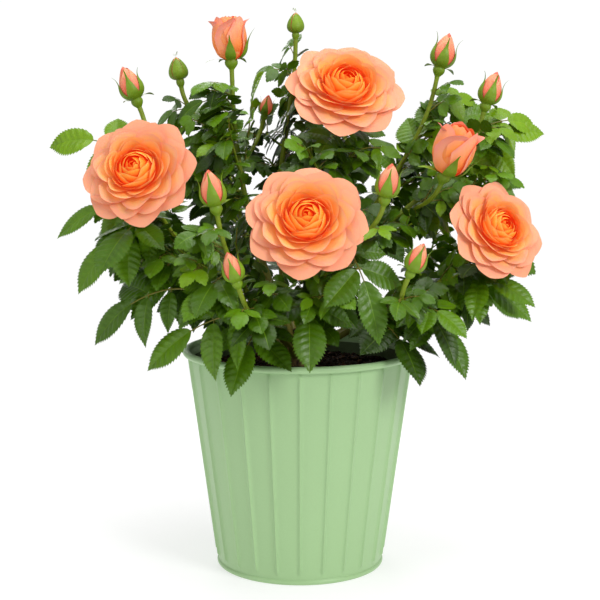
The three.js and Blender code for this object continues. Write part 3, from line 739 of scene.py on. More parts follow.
paths = lay_out_shoots()
side_paths = {
    name: [side_path(paths[name], side) for side in SHOOTS[name][1]] for name in SHOOTS
}
print("longest shoot", round(max(path.length() for path in paths.values())), "mm")

# %% [markdown]
# ## Room
#
# Leaves on a real plant find the light between their neighbours. Here a leaf is offered
# a place and tested: none of its points may leave the box of the solids, touch the pot,
# enter a flower or come nearer to another shoot's limbs than to its own. The limbs stand
# in the test as strings of points.

# %% Room
SPACE_MARGIN, LIMB_MARGIN, FLOWER_MARGIN = 1, 2.2, 3
LIMB_STEP, NEARBY = 4, 50
OVER_RIM, OUTSIDE_RIM, OVER_SOIL, FROM_WALL = 2, 2.5, 3, 8
CROWN_LOW = np.array(cad_low) / MM - 0.5
CROWN_HIGH = np.array(cad_high) / MM + 0.5


def squares_between(points, others):
    """Squared distances from each point to each of the others."""
    sums = (points**2).sum(axis=1)[:, None] + (others**2).sum(axis=1)
    return np.maximum(0, sums - 2 * points @ others.T)


class Room:
    """What is already there: limbs, flowers and leaves."""

    def __init__(self):
        self.points = np.zeros((0, 3))
        self.radii = np.zeros(0)
        self.owners = np.zeros(0, int)
        self.apart = np.zeros(0, bool)
        self.leaves = np.zeros((0, 3))
        self.flowers = []

    def add_limb(self, curve, start, end, owner, radius, apart):
        count = math.ceil(curve.length() * (end - start) / LIMB_STEP)
        points = curve.at(blend(start, end, np.arange(count + 1) / count))
        self.points = np.concatenate([self.points, points])
        self.radii = np.concatenate([self.radii, np.full(count + 1, radius)])
        self.owners = np.concatenate([self.owners, np.full(count + 1, owner)])
        self.apart = np.concatenate([self.apart, np.full(count + 1, apart)])

    def add_flower(self, flower):
        kind, base, faces, size = flower
        opened = kind == "bloom"
        radius = BLOOM_RADIUS if opened else BUD_LENGTH * (0.76 if kind == "cup" else 0.6)
        depth = 0.5 * BLOOM_RADIUS if opened else 0.7 * BUD_LENGTH
        deep = depth * size + FLOWER_MARGIN
        centre = np.array(base) + facing(faces) * depth * size
        across = radius * size + FLOWER_MARGIN
        self.flowers.append((facing(faces), across, deep, centre, deep * (2 if opened else 1)))

    def in_flower(self, points):
        inside = np.zeros(len(points), bool)
        for axis, across, deep, centre, ahead in self.flowers:
            away = points - centre
            along = away @ axis
            out = np.maximum(0, (away**2).sum(axis=1) - along**2)
            depth = np.where(along > 0, ahead, deep)
            inside |= (along / depth) ** 2 + out / across**2 < 1
        return inside

    def in_pot(self, points):
        out = np.hypot(points[:, 0], points[:, 1])
        over_soil = (out < TOP_RADIUS - FROM_WALL) & (points[:, 2] > SOIL_TOP + OVER_SOIL)
        low = points[:, 2] <= POT_HEIGHT + OVER_RIM
        return low & (out < RIM_RADIUS + OUTSIDE_RIM) & ~over_soil

    def fits(self, points, owner, margin=SPACE_MARGIN):
        """Whether every one of these points has room inside the crown's reach."""
        if (points < CROWN_LOW).any() or (points > CROWN_HIGH).any():
            return False
        if self.in_pot(points).any() or self.in_flower(points).any():
            return False
        away = np.sqrt(squares_between(points, self.points)) - self.radii
        own = self.owners == owner
        if (away[:, self.apart] < LIMB_MARGIN).any():
            return False
        nearest = away[:, own].min(axis=1)
        other = away[:, ~own].min(axis=1)
        return bool(((nearest + margin < other) & (other > LIMB_MARGIN)).all())

    def clear_of_leaves(self, points, margin):
        near = (np.abs(self.leaves - points.mean(axis=0)) < NEARBY).all(axis=1)
        return bool((squares_between(points, self.leaves[near]) > margin**2).all())


room = Room()
for flower, sides, _ in SHOOTS.values():
    for each in (flower, *sides):
        room.add_flower(each)
for owner, (name, path) in enumerate((name, paths[name]) for name in SHOOTS):
    room.add_limb(path, 0, ENTRY, owner, BOUGH_RADIUS, True)
    room.add_limb(path, ENTRY + 0.03, NECK - 0.03, owner, STEM_RADIUS, False)
    room.add_limb(path, NECK, 1, owner, STALK_RADIUS, True)
    for curve in side_paths[name]:
        room.add_limb(curve, 0, SIDE_NECK - 0.03, owner, SIDE_TWIG_RADIUS, False)
        room.add_limb(curve, SIDE_NECK, 1, owner, STALK_RADIUS, True)
print("points along limbs", len(room.points))

# %% [markdown]
# ## How a leaf hangs
#
# A rose leaf is a stalk with one leaflet at its end and pairs at its sides. The stalk
# arches out from the limb and its tip hangs. The flat leaf is drawn once, in shares of its
# reach, and every point of it is then carried onto the arch. The leaf is rolled about its
# stalk so that its face turns to the light, and its sides sag.

# %% Leaf frame
LEAF_REACH, LEAF_LIFT, LEAF_ROLL, LIGHT_RISE, BACK_FROM, SAG = 66, 0.26, 1.1, 0.8, 25, 0.2
PAIR_SLANT = 0.36
SOLID_LEAFLETS = ((0.2, 0.32), (0.45, 0.38), (0.58, 0.42))
SOLID_WIDTH, SOLID_BELLY = 0.8, 0.45


class Leaf:
    """The arch of one leaf, from its root on a limb to the end leaflet's tip."""

    def __init__(self, root, tip):
        self.reach = np.linalg.norm(tip - root)
        bow = blend(root, tip, 0.5) + UP * LEAF_LIFT * self.reach
        self.arch = Curve(root, bow, tip)
        self.level = unit(np.cross(UP, tip - root))
        face = unit(np.cross(tip - root, self.level))
        light = unit(root * (1, 1, 0))
        light = unit(light + (0, -1 if root[1] < BACK_FROM else 1, 0)) + UP * LIGHT_RISE
        wanted = math.atan2(-self.level @ light, face @ light)
        self.roll = min(LEAF_ROLL, max(-LEAF_ROLL, wanted))
        self.pairs, self.outer = 0, False

    def carry(self, along, across, above):
        """Points of the flat leaf on its arch: shares of the reach, and mm above it."""
        along, across, above = np.broadcast_arrays(along, across, above)
        tangent = self.arch.tangent(np.maximum(0, along))
        c, s = math.cos(self.roll), math.sin(self.roll)
        dot = (tangent @ self.level)[..., None]
        side = self.level * c + np.cross(tangent, self.level) * s + tangent * dot * (1 - c)
        normal = unit(np.cross(tangent, side))
        return (
            self.arch.at(along)
            + side * (across * self.reach)[..., None]
            - UP * (SAG * np.abs(across) * self.reach)[..., None]
            + normal * above[..., None]
        )


def outline_points(pairs):
    """Places over a flat leaf that stand for it in the tests of room."""
    forwards = (math.sin(PAIR_SLANT), math.cos(PAIR_SLANT))
    corners = []
    for at, length in SOLID_LEAFLETS[2 - pairs : 2]:
        half, belly = length * SOLID_WIDTH / 2, length * SOLID_BELLY
        lean, reach = belly * forwards[0], belly * forwards[1]
        corners += [
            (at - 0.01, 0.01),
            (at + lean - half * forwards[1], reach + half * forwards[0]),
            (at + length * forwards[0], length * forwards[1]),
            (at + lean + half * forwards[1], reach - half * forwards[0]),
        ]
    at, length = SOLID_LEAFLETS[2]
    corners += [(at, 0.01), (at + length * SOLID_BELLY, length * SOLID_WIDTH / 2), (1, 0)]
    corners = np.array(corners)
    middles = (corners[1:] + corners[:-1]) / 2
    hearts = [(a + 0.18 * length, 0.5 * length) for a, length in SOLID_LEAFLETS[2 - pairs : 2]]
    side = np.concatenate([corners, middles, hearts])
    rib = np.array([(along, 0) for along in np.arange(0.3, 1, 0.1)])
    return np.concatenate([side, side * (1, -1), rib])


OUTLINES = {pairs: outline_points(pairs) for pairs in (1, 2)}
print("test points on a leaf", len(OUTLINES[2]))

# %% [markdown]
# ## Growing the masses
#
# First comes the plant that the solids show: two leafy twigs on each shoot, the long
# outer leaves, then leaves up the stem, the side twigs and the leafy twigs, each at the
# golden angle from the last. Then the same rule runs twice more, finer each time: shorter
# twigs and smaller leaves, allowed closer together, fill the space between. They keep
# inside the same reach, and a leaf that finds no room is left out, which keeps the
# crown's gaps.

# %% Stages and shoots
TWIG_SEED, LEAF_SEED, FINE_SEED, SMALL_SEED, SEED_STEP = 31, 35, 7, 8, 7919
OUTER_MARGIN = 7
TRIES, SPRAY_TURN, ROOT_SPACING, SHORTEST_TWIG = 8, 0.13, 6, 0.15
STAGE_FIELDS = ("twigs", "lengths", "margin", "size", "counts", "droop", "taper", "up_to")
SOLID_STAGE = dict(zip(STAGE_FIELDS, (2, (34, 56), 7, 1, (5, 2, 2), (0.35, 0.9), 0.76, 0)))
FINE_STAGE = dict(zip(STAGE_FIELDS, (3, (22, 44), 2.4, 0.62, (15, 7, 4), (0, 0.7), 1, 0.94)))
SMALL_STAGE = dict(zip(STAGE_FIELDS, (3, (14, 34), 1.6, 0.44, (17, 8, 5), (-0.3, 0.5), 1, 0.94)))


class Shoot:
    """One shoot of the bush while it grows."""

    def __init__(self, owner, name):
        self.owner, self.name = owner, name
        self.flower, self.sides, self.sprays = SHOOTS[name]
        self.path, self.side_paths = paths[name], side_paths[name]
        self.twigs, self.leaves, self.outer_twigs = [], [], []

    def stems(self):
        """The stem and side twigs inside the mass, with where each starts and ends."""
        half = CLEAR / 2 / self.path.length()
        found = [(self.path, ENTRY + half, NECK - half)]
        for curve in self.side_paths:
            found.append((curve, 0, SIDE_NECK - CLEAR / 2 / curve.length()))
        return found


shoots = [Shoot(owner, name) for owner, name in enumerate(SHOOTS)]
print("shoots to grow", len(shoots))

# %% [markdown]
# ## Leafy twigs
#
# A leafy twig leaves the stem at a height drawn by chance, points outwards and sags in its
# middle. It is turned by the golden angle and made shorter until it finds room.

# %% Growing twigs
def outwards(root, turn, rise):
    """A direction by chance, drawn away from the axis the more the further out."""
    out = root * (1, 1, 0)
    pull = min(1, np.linalg.norm(out) / 50)
    flat = np.array([math.cos(turn), math.sin(turn), 0])
    return unit(flat * 0.75 + unit(out) * pull + UP * rise)


def grow_twigs(shoot, stage, chance):
    turn = chance(0, 2 * math.pi)
    made = []
    for k in range(stage["twigs"]):
        at = blend(ENTRY + 0.04, NECK - 0.12, (k + chance(0.1, 0.9)) / stage["twigs"])
        length = chance(*stage["lengths"])
        start = shoot.path.at(at)
        for attempt in range(TRIES):
            turn += GOLDEN_TURN
            end = start + outwards(start, turn, 0.5) * length * (1 - 0.1 * attempt)
            twig = Curve(start, blend(start, end, 0.5) - UP * 0.1 * length, end)
            if room.fits(twig.at(np.arange(0.3, 1.0001, 0.1)), shoot.owner):
                made.append(twig)
                room.add_limb(twig, 0, 1, shoot.owner, LEAFY_TWIG_RADIUS, False)
                break
    shoot.twigs += made
    return made


solid_twigs = [
    grow_twigs(shoot, SOLID_STAGE, Chance(TWIG_SEED + shoot.owner * SEED_STEP))
    for shoot in shoots
]
print("twigs of the solids", sum(map(len, solid_twigs)))

# %% [markdown]
# ## Outer leaves
#
# The long outer leaves make the crown's outline. Each hangs to a tip that the plan gives,
# from the place on a stem that is nearest to a leaf's reach away. Where the stem is too
# far off, the leaf's arch is bare at first and serves as its twig.

# %% Growing outer leaves
def grow_leaf(shoot, root, tip, space, margin):
    """Adds a leaf of five leaflets, or of three, where there is room for one."""
    leaf = Leaf(root, tip)
    for pairs in (2, 1):
        along, across = OUTLINES[pairs].T
        points = leaf.carry(along, across, 0.0)
        if room.fits(points, shoot.owner, space) and room.clear_of_leaves(points, margin):
            room.leaves = np.concatenate([room.leaves, points])
            leaf.pairs = pairs
            shoot.leaves.append(leaf)
            return True
    return False


def swing(way, turn):
    c, s = math.cos(turn), math.sin(turn)
    return np.array([c * way[0] - s * way[1], s * way[0] + c * way[1], way[2]])


def grow_outer_leaf(shoot, spray, earlier):
    """A long leaf of the crown's outline, on a twig of its own where that is far."""
    tip = np.array(spray, float)
    root, least = None, math.inf
    for curve, start, end in shoot.stems():
        for t in np.arange(start + 0.04, end - 0.04 + 1e-9, 0.02):
            point = curve.at(t)
            excess = abs(np.linalg.norm(point - tip) - LEAF_REACH)
            taken = any(np.linalg.norm(made - point) < ROOT_SPACING for made in earlier)
            if excess < least and not taken:
                root, least = point, excess
    earlier.append(root)
    share = 1 - LEAF_REACH / np.linalg.norm(root - tip)
    for attempt in range(TRIES):
        turn = math.ceil(attempt / 2) * (SPRAY_TURN if attempt % 2 else -SPRAY_TURN)
        swung = swing(tip - root, turn) + root
        arch = Leaf(root, swung).arch
        on_stem = share < SHORTEST_TWIG
        twig = arch.at(np.arange(0.2, share + 1e-9, 0.1))
        if not on_stem and not room.fits(twig, shoot.owner, -math.inf):
            continue
        foot = root if on_stem else arch.at(share)
        if grow_leaf(shoot, foot, swung, -math.inf, OUTER_MARGIN):
            shoot.leaves[-1].outer = True
            if not on_stem:
                shoot.outer_twigs.append((arch, share))
            return


for shoot in shoots:
    roots = []
    for spray in shoot.sprays:
        grow_outer_leaf(shoot, spray, roots)
print("outer leaves", sum(len(shoot.leaves) for shoot in shoots))

# %% [markdown]
# ## All the other leaves
#
# Leaves are set along the stem, the side twigs and the leafy twigs, and grow smaller
# towards the end of each. The first stage makes the leaves of the solids. The next two
# grow twigs of their own and leaf every twig again, finer each time.

# %% Growing leaves
def grow_leaves_along(shoot, curve, start, end, count, scale, stage, chance):
    turn = chance(0, 2 * math.pi)
    for k in range(count):
        root = curve.at(blend(start, end, (k + chance(0.3, 0.9)) / count))
        full = LEAF_REACH * scale * chance(0.85, 1.1) * blend(1.08, stage["taper"], k / count)
        droop = chance(*stage["droop"])
        for attempt in range(TRIES):
            turn += GOLDEN_TURN
            reach = full * (1 - 0.06 * attempt)
            tip = root + outwards(root, turn, 0.25) * reach - UP * droop * reach
            if grow_leaf(shoot, root, tip, SPACE_MARGIN, stage["margin"]):
                break


def grow_leaves(shoot, stage, twigs, chance):
    (stem, low, high), *side_stems = shoot.stems()
    size = stage["size"]
    on_stem, on_side, on_twig = stage["counts"]
    high = max(high, stage["up_to"])
    grow_leaves_along(shoot, stem, low, high, on_stem, size, stage, chance)
    for curve, _, end in side_stems:
        end = max(end, stage["up_to"] - 0.12)
        grow_leaves_along(shoot, curve, 0.25, end, on_side, 0.75 * size, stage, chance)
    for curve in twigs:
        grow_leaves_along(shoot, curve, 0.4, 1, on_twig, 0.75 * size, stage, chance)


for shoot, twigs in zip(shoots, solid_twigs):
    chance = Chance(LEAF_SEED + shoot.owner * SEED_STEP)
    grow_leaves(shoot, SOLID_STAGE, twigs, chance)
print("leaves of the solids", sum(len(shoot.leaves) for shoot in shoots))
for seed, stage in ((FINE_SEED, FINE_STAGE), (SMALL_SEED, SMALL_STAGE)):
    for shoot in shoots:
        chance = Chance(seed + shoot.owner * SEED_STEP)
        grow_twigs(shoot, stage, chance)
        grow_leaves(shoot, stage, shoot.twigs, chance)
print("leaves in all", sum(len(shoot.leaves) for shoot in shoots))
print("twigs", sum(len(shoot.twigs) for shoot in shoots))

# %% [markdown]
# ## Tubes
#
# Trunk, boughs, twigs and stalks are all tubes along a curve. Rings of points are set
# square to the curve and share one steady sideways direction, so the tube doesn't twist.
# The radius may vary along and around, and that is how bark gets its relief: as real
# bumps in the mesh.

# %% Tubes
def rings(line, side, third, wide, flat, sides):
    """Rings about a line, each as wide along `side` and as flat along `third` as told."""
    turns = whole_turn(sides)
    return (
        line[:, None]
        + (wide * np.cos(turns))[..., None] * side
        + (flat * np.sin(turns))[..., None] * third
    )


def tube(curve, start, end, radii, sides):
    """A grid along the curve. radii: one for each row, or rows by sides."""
    radii = np.asarray(radii, float)
    if radii.ndim == 1:
        radii = np.repeat(radii[:, None], sides, axis=1)
    t = np.linspace(start, end, len(radii))
    along = curve.tangent(t)
    across = np.cross(curve.tangent(start), curve.tangent(end))
    if np.linalg.norm(across) < 1e-3:
        across = np.cross((1, 0.02, 0), curve.tangent(start))
    side = unit(across - along * (along @ across)[:, None])
    return rings(curve.at(t), side[:, None], np.cross(side, along)[:, None], radii, radii, sides)


def knots(rows, sides, waves, depth, seed):
    """Gentle bumps over a tube, as a factor on its radius, that meet at the seam."""
    draw = np.random.default_rng(seed)
    v = np.linspace(0, 1, rows)[:, None]
    u = whole_turn(sides)
    total = np.ones((rows, sides))
    for along, around in waves:
        a, b = draw.uniform(0, ANY_TURN, 2)
        total += depth * np.sin(v * ANY_TURN * along + a + np.sin(u + b)) * np.cos(around * u + b)
    return total


print("grid of a tube", tube(paths["top"], 0, 1, np.ones(5), 8).shape)

# %% [markdown]
# ## Rootstock
#
# The oldest wood is a short knuckle at soil level, flared where the roots begin. Its bark is
# brown and cracked lengthwise. The knuckle is a turned profile with bumps all over it, and
# the cracks are noise that is stretched upwards and used both as colour and as relief.

# %% Rootstock
rows, columns = 48, 60
heights = np.linspace(0, STOCK_HEIGHT + 1.2, rows)
stock_radii = np.interp(
    heights, [0, 2, 6.7, 16.8, 24, 25.2], [12.6, 11.6, STOCK_RADIUS, 8, 5.2, 0.3]
)
rough = knots(rows, columns, ((1.5, 3), (3, 5), (5, 9), (9, 14)), 0.022, 3) - 0.03
stock = Skin()
stock.add(
    ring(
        stock_radii[:, None] * rough, SOIL_TOP + CLEAR + heights[:, None], whole_turn(columns)
    ),
    closed=True,
)

old_bark = grained(
    "old_bark", {"Roughness": 0.85, "Specular IOR Level": 0.3}, 420, 5, (1, 1, 0.22),
    [(0.35, paint(48, 34, 20)), (0.5, paint(98, 76, 44)), (0.7, paint(140, 118, 74))], 0.0012,
)
stock.piece("rootstock_bark", [old_bark], "old_wood", "rootstock")
print("rootstock points", stock.count)

# %% [markdown]
# ## Boughs and thorns
#
# The shoots are this year's wood: smooth yellow-green bark, browner in patches, with
# slight swellings at the nodes and a few hooked thorns. Each thorn is a flattened cone
# that is sunk in the bark and bent down at its tip. It is joined to its bough's mesh.

# %% Boughs
green_bark = Finish("green_bark", {"Roughness": 0.45, "Specular IOR Level": 0.4})
streak = green_bark.noise(160, detail=4, stretch=(1, 1, 0.15))
rub = green_bark.noise(50, detail=3)
green_bark.wear(
    Base_Color=green_bark.mix(
        rub * 0.8,
        green_bark.mix(streak, paint(96, 112, 34), paint(142, 152, 52)),
        paint(112, 84, 36),
    ),
    Roughness=0.4 + streak * 0.15,
    Normal=green_bark.bump(streak, 0.0003),
)
thorn_tip = Finish("thorn", {"Roughness": 0.4})
thorn_tip.wear(
    Base_Color=thorn_tip.mix(thorn_tip.noise(300), paint(150, 92, 52), paint(176, 132, 78))
)


def thorn(root, way, size):
    """A hooked thorn: rings that shrink along a bent line, broad along the stem."""
    share = np.linspace(0, 1, 6)[:, None]
    line = root + way * size * share - UP * size * 0.45 * share**2
    broad = np.cross(way, np.cross(UP, way))
    thin = np.cross(way, broad)
    width = size * 0.42 * (1 - share) ** 1.5 + 0.06
    flat = size * 0.16 * (1 - share) + 0.05
    return rings(line, broad, thin, width, flat, 8)


def add_thorns(skin, curve, start, end, radius, count, draw):
    for t in np.sort(draw.uniform(start, end, count)):
        turn = draw.uniform(0, ANY_TURN)
        along = curve.tangent(t)
        side = unit(np.cross(along, (math.cos(turn), math.sin(turn), 0.1)))
        hook = thorn(curve.at(t) + side * radius * 0.7, side, draw.uniform(2.6, 4.2))
        skin.add(hook, finish=1, closed=True)


def bark_radii(first, last, rows, sides, seed):
    swell = 1 + 0.07 * np.exp(-(((np.linspace(0, 3.4, rows) + 0.3) % 1 - 0.5) / 0.12) ** 2)
    return np.linspace(first, last, rows)[:, None] * swell[:, None] * knots(
        rows, sides, ((3, 2), (7, 3), (13, 5)), 0.012, seed
    )


BARK_SEED = 900
for shoot in shoots:
    draw = np.random.default_rng(BARK_SEED + shoot.owner)
    bough = Skin()
    end = ENTRY + 0.01
    radii = bark_radii(BOUGH_RADIUS, STEM_RADIUS, 40, 20, shoot.owner)
    bough.add(tube(shoot.path, 0.0, end, radii, 20), closed=True)
    add_thorns(bough, shoot.path, 0.12, end, STEM_RADIUS, 2, draw)
    bough.piece(
        "bark_" + shoot.name, [green_bark, thorn_tip], "green_bark", "bough_" + shoot.name
    )
print("boughs", len(shoots))

# %% [markdown]
# ## Leaflets
#
# A rose leaflet is egg-shaped with a drawn-out tip, folded a little along its midrib, with
# some seven pairs of veins and a row of forward-pointing teeth. The grid is laid along
# the veins: its rows start at the midrib and slant forwards to the teeth. Every
# fourth row is a vein and lies low, the rows between bulge up, and the margin steps
# out and in at each tooth. The narrow middle strip is the midrib, in a paler finish. Small
# leaves get the same form from fewer faces.

# %% Leaflet
def leaflet_template(teeth, columns, half_width, bite):
    """Places along and across a leaflet of length 1, its relief and its finishes."""
    pitch = 0.86 / teeth
    rows = [(0.0, 0, 0), (0.025, 0, 0), (0.06, 0, 0)]
    for k in range(teeth):
        start = 0.09 + k * pitch
        rows.append((start, -0.6, (k / 2) % 1))
        rows.append((start + 0.78 * pitch, 1.0, (k / 2 + 0.4) % 1))
    rows += [(0.968, 0, 0.5), (1.0, 0, 0.5)]
    u, tooth, phase = np.array(rows).T
    width = half_width * u**0.62 * (1 - u) ** 1.12 / 0.323
    width = np.maximum(width, 0.008)
    margin = width + bite * tooth * np.minimum(1, width / 0.12)
    v = np.array(columns)
    half = blend(width[:, None], margin[:, None], (np.abs(v) == 1) * 1.0)
    across = half * v
    slant = 0.15 * np.sin(math.pi * np.minimum(1, u * 1.02))[:, None] * np.abs(v) ** 0.8
    forward = 0.25 * pitch * (tooth * (tooth > 0))[:, None] * (np.abs(v) == 1)
    along = np.clip(u[:, None] + slant * (1 - u[:, None]) ** 0.4 + forward, 0, 1)
    window = np.interp(np.abs(v), [0, 0.045, 0.4, 0.72, 1], [0, 0, 1, 0.85, 0.1])
    bulge = np.sin(math.pi * phase)[:, None] * window * np.minimum(1, width / 0.1)[:, None]
    fold = 0.34 * np.abs(across) - 0.5 * across**2
    strips = np.abs(v[1:] + v[:-1]) < 1e-9
    midrib_strip = np.tile(strips * 1, (len(u) - 1, 1))
    return along, across, 0.028 * bulge + fold, midrib_strip


LEAFLET_FORMS = (
    # least reach of a leaf in millimetres, and the form of its leaflets
    (46, leaflet_template(14, (-1, -0.72, -0.4, -0.022, 0.022, 0.4, 0.72, 1), 0.3, 0.024)),
    (30, leaflet_template(9, (-1, -0.55, -0.035, 0.035, 0.55, 1), 0.33, 0.026)),
    (0, leaflet_template(5, (-1, -0.5, 0, 0.5, 1), 0.35, 0.024)),
)
print("faces on a leaflet", [form[3].size for _, form in LEAFLET_FORMS])

# %% [markdown]
# ## Leaf finishes
#
# Leaves are satin on top and let a little light soak in. Each leaf is dealt one of four plain
# base colours, from deep green to fresh yellow-green: deep inside the crown and lighter
# towards its top and edge, partly for the leaves' age and partly as painted shade deep in the
# crown. Within a leaf the colour wanders a little by noise, and the midrib is paler.

# %% Leaf finishes
def leaf_finish(name, colour, gloss):
    made = Finish(
        name,
        {"Specular IOR Level": 0.38, "Subsurface Weight": 0.05, "Subsurface Scale": 0.002},
    )
    patch = made.noise(120, detail=4)
    dark = tuple(0.7 * v for v in colour)
    made.wear(
        Base_Color=made.mix(patch, dark, tuple(min(1, 1.3 * v) for v in colour)),
        Roughness=gloss + patch * 0.15,
        Normal=made.bump(made.noise(420, detail=4), 0.0006, 0.6),
    )
    return made


*leaf_finishes, twig_green, leaf_stalk = (
    leaf_finish("leaf_deep", paint(50, 80, 1), 0.32),
    leaf_finish("leaf_mid", paint(70, 107, 2), 0.3),
    leaf_finish("leaf_green", paint(88, 129, 3), 0.3),
    leaf_finish("leaf_fresh", paint(110, 148, 5), 0.32),
    leaf_finish("leaf_midrib", paint(102, 139, 18), 0.38),
    leaf_finish("twig_green", paint(122, 142, 26), 0.4),
    leaf_finish("leaf_stalk", paint(118, 114, 34), 0.4),
)
MIDRIB = 4
print("leaf finishes", len(leaf_finishes), "with the midrib's as number", MIDRIB)

# %% [markdown]
# ## Masses of leaves
#
# Leaves and twigs of one shoot become two joined meshes, one of each kind. A leaflet is
# placed on the flat leaf, bent a little at its tip, tilted and twisted by chance, and
# carried onto the arch with the rest. Its stalk is a thin tube along the same arch. The
# long outer leaves have a larger end leaflet, as leaves that reach for the light do.

# %% Leaves and twigs
LEAFLETS = ((0.17, 0.36), (0.38, 0.46), (0.5, 0.5))
OUTER_LEAFLETS = ((0.12, 0.36), (0.36, 0.42), (0.48, 0.52))
END_LEAFLET = 33
SIDE_STALK = 0.03
CROWN_RADIUS, CROWN_HEIGHT, AGE_AND_SHADE_STEPS = 165, 200, 3.4


def add_leaflet(skin, leaf, form, at, side, length, finish, draw):
    """One leaflet: side is -1 or 1 for a side leaflet, 0 for the end one."""
    along, across, relief, strips = form
    grow = length * (draw.uniform(0.88, 1.04) if side else 1)
    width = grow * draw.uniform(0.88, 1.22)
    lean = math.pi / 2 - PAIR_SLANT - draw.uniform(-0.2, 0.2) if side else 0
    c, s = math.cos(lean), math.sin(lean)
    start = SIDE_STALK if side else 0
    x = at + start * c + along * grow * c - across * width * s
    y = start * s + along * grow * s + across * width * c
    size = grow * leaf.reach
    above = relief - draw.uniform(0.04, 0.24) * along**2
    above = above + draw.uniform(-0.25, 0.25) * along * across
    if side:
        above = above + draw.uniform(-0.15, 0.25) * across
        y = y * side
    skin.add(leaf.carry(x, y, above * size), finish=np.where(strips == 1, MIDRIB, finish))


def line_tube(line, radii, sides):
    """A thin tube through a line of points."""
    along = unit(np.gradient(line, axis=0))
    side = unit(np.cross(along, UP + 0.01))
    radii = radii[:, None]
    return rings(line, side[:, None], np.cross(side, along)[:, None], radii, radii, sides)


def add_leaf(skin, twigs, leaf, finish, draw):
    """All the leaflets of a leaf and the stalk that carries them."""
    form = next(form for least, form in LEAFLET_FORMS if leaf.reach >= least)
    fine = leaf.reach >= LEAFLET_FORMS[0][0]
    longest = END_LEAFLET / leaf.reach
    sides, rows, side_rows = (6, 14, 9) if fine else (4, 7, 5)
    table = OUTER_LEAFLETS if leaf.outer else LEAFLETS
    for at, length in table[2 - leaf.pairs : 2]:
        for side in (-1, 1):
            add_leaflet(skin, leaf, form, at, side, length, finish, draw)
        stalk = np.linspace(-1, 1, side_rows)
        line = leaf.carry(at + np.abs(stalk) * SIDE_STALK * 0.4, stalk * SIDE_STALK, 0.0)
        twigs.add(line_tube(line, np.full(side_rows, 0.3), sides), finish=1, closed=True)
    length = min(table[2][1], longest)
    at = 1 - length
    add_leaflet(skin, leaf, form, at, 0, length, finish, draw)
    line = leaf.carry(np.linspace(-1.2 / leaf.reach, at + 0.02, rows), 0.0, -0.1)
    size = np.interp(np.arange(rows), [0, 1, rows - 1], [0.95, 0.62, 0.36])
    twigs.add(line_tube(line, size * (0.5 + leaf.reach / 130), sides), finish=1, closed=True)


print("leaflets of a full leaf", 1 + 2 * len(LEAFLETS[:2]))

# %% [markdown]
# ## Masses, shoot by shoot
#
# The colour of a leaf is drawn by chance round a mean that rises towards the crown's edge and
# its top, partly for its age and partly as painted shade deep in the crown. Stems, leafy twigs
# and the twigs of outer leaves go into the mesh of twigs.

# %% Masses
def leaf_age_and_shade(leaf, draw):
    """Darker deep in the crown, lighter near its top and edge: partly age, partly painted shade.
    """
    tip = leaf.arch.controls[-1]
    edge = math.hypot(tip[0], tip[1]) / CROWN_RADIUS
    high = (tip[2] - SOIL_TOP) / CROWN_HEIGHT
    # painted shade: leaves deep in the crown are dealt the darker greens
    age_and_shade = 0.5 * edge + 0.35 * high + draw.uniform(-0.4, 0.45)
    return int(np.clip(age_and_shade * AGE_AND_SHADE_STEPS, 0, MIDRIB - 1))


LEAVES_SEED = 40
leaf_faces = 0
for shoot in shoots:
    draw = np.random.default_rng(LEAVES_SEED + shoot.owner)
    leaves, twigs = Skin(), Skin()
    stems = shoot.stems()
    for k, (curve, start, end) in enumerate(stems):
        first = STEM_RADIUS if k == 0 else SIDE_TWIG_RADIUS
        last = STALK_RADIUS if k == 0 else SIDE_TWIG_RADIUS * 0.9
        twigs.add(tube(curve, start, end, bark_radii(first, last, 40, 12, k + 5), 12), closed=True)
        add_thorns(twigs, curve, start + 0.05, end, first * 0.8, 3 if k == 0 else 1, draw)
    for curve in shoot.twigs:
        radii = np.linspace(LEAFY_TWIG_RADIUS, TWIG_TIP_RADIUS * 0.7, 12)
        twigs.add(tube(curve, 0, 1, radii, 7), closed=True)
    for arch, share in shoot.outer_twigs:
        radii = np.linspace(LEAFY_TWIG_RADIUS, TWIG_TIP_RADIUS, 12)
        twigs.add(tube(arch, 0, share, radii, 8), closed=True)
    for leaf in shoot.leaves:
        add_leaf(leaves, twigs, leaf, leaf_age_and_shade(leaf, draw), draw)
    node = "foliage_" + shoot.name
    leaves.piece("leaves_" + shoot.name, leaf_finishes, "leaf", node)
    twigs.piece("twigs_" + shoot.name, [twig_green, leaf_stalk], "green_bark", node)
    leaf_faces += sum(len(faces) for faces in leaves.faces)
print("leaf triangles", 2 * leaf_faces)

# %% [markdown]
# ## Petals
#
# A rose is built in whorls. In its heart the petals are wound tight, each at the golden
# angle from the last, and lean inwards like the staves of a barrel. Outwards the
# whorls open one by one, until the last lies flat and curls back at its rim. A petal is a
# fan of rows round the axis: every row lies on the same curve from the petal's foot to
# its rim. The rim is cut round at its corners, with a small point in the middle, so the
# flower's outline is scalloped.
#
# The tone runs from 0 in the deep orange heart to 1 at the pale outside. Each petal is
# deeper at its foot, partly its own colour and partly painted shade where the petals meet,
# and has a thin pale rim that is a painted highlight.

# %% Petals
WHORL_FIELDS = ("petals", "rim", "height", "foot_lean", "rim_lean", "half", "tone")
PETAL_FOOT = 5.5
WRAPPED_FROM = 57


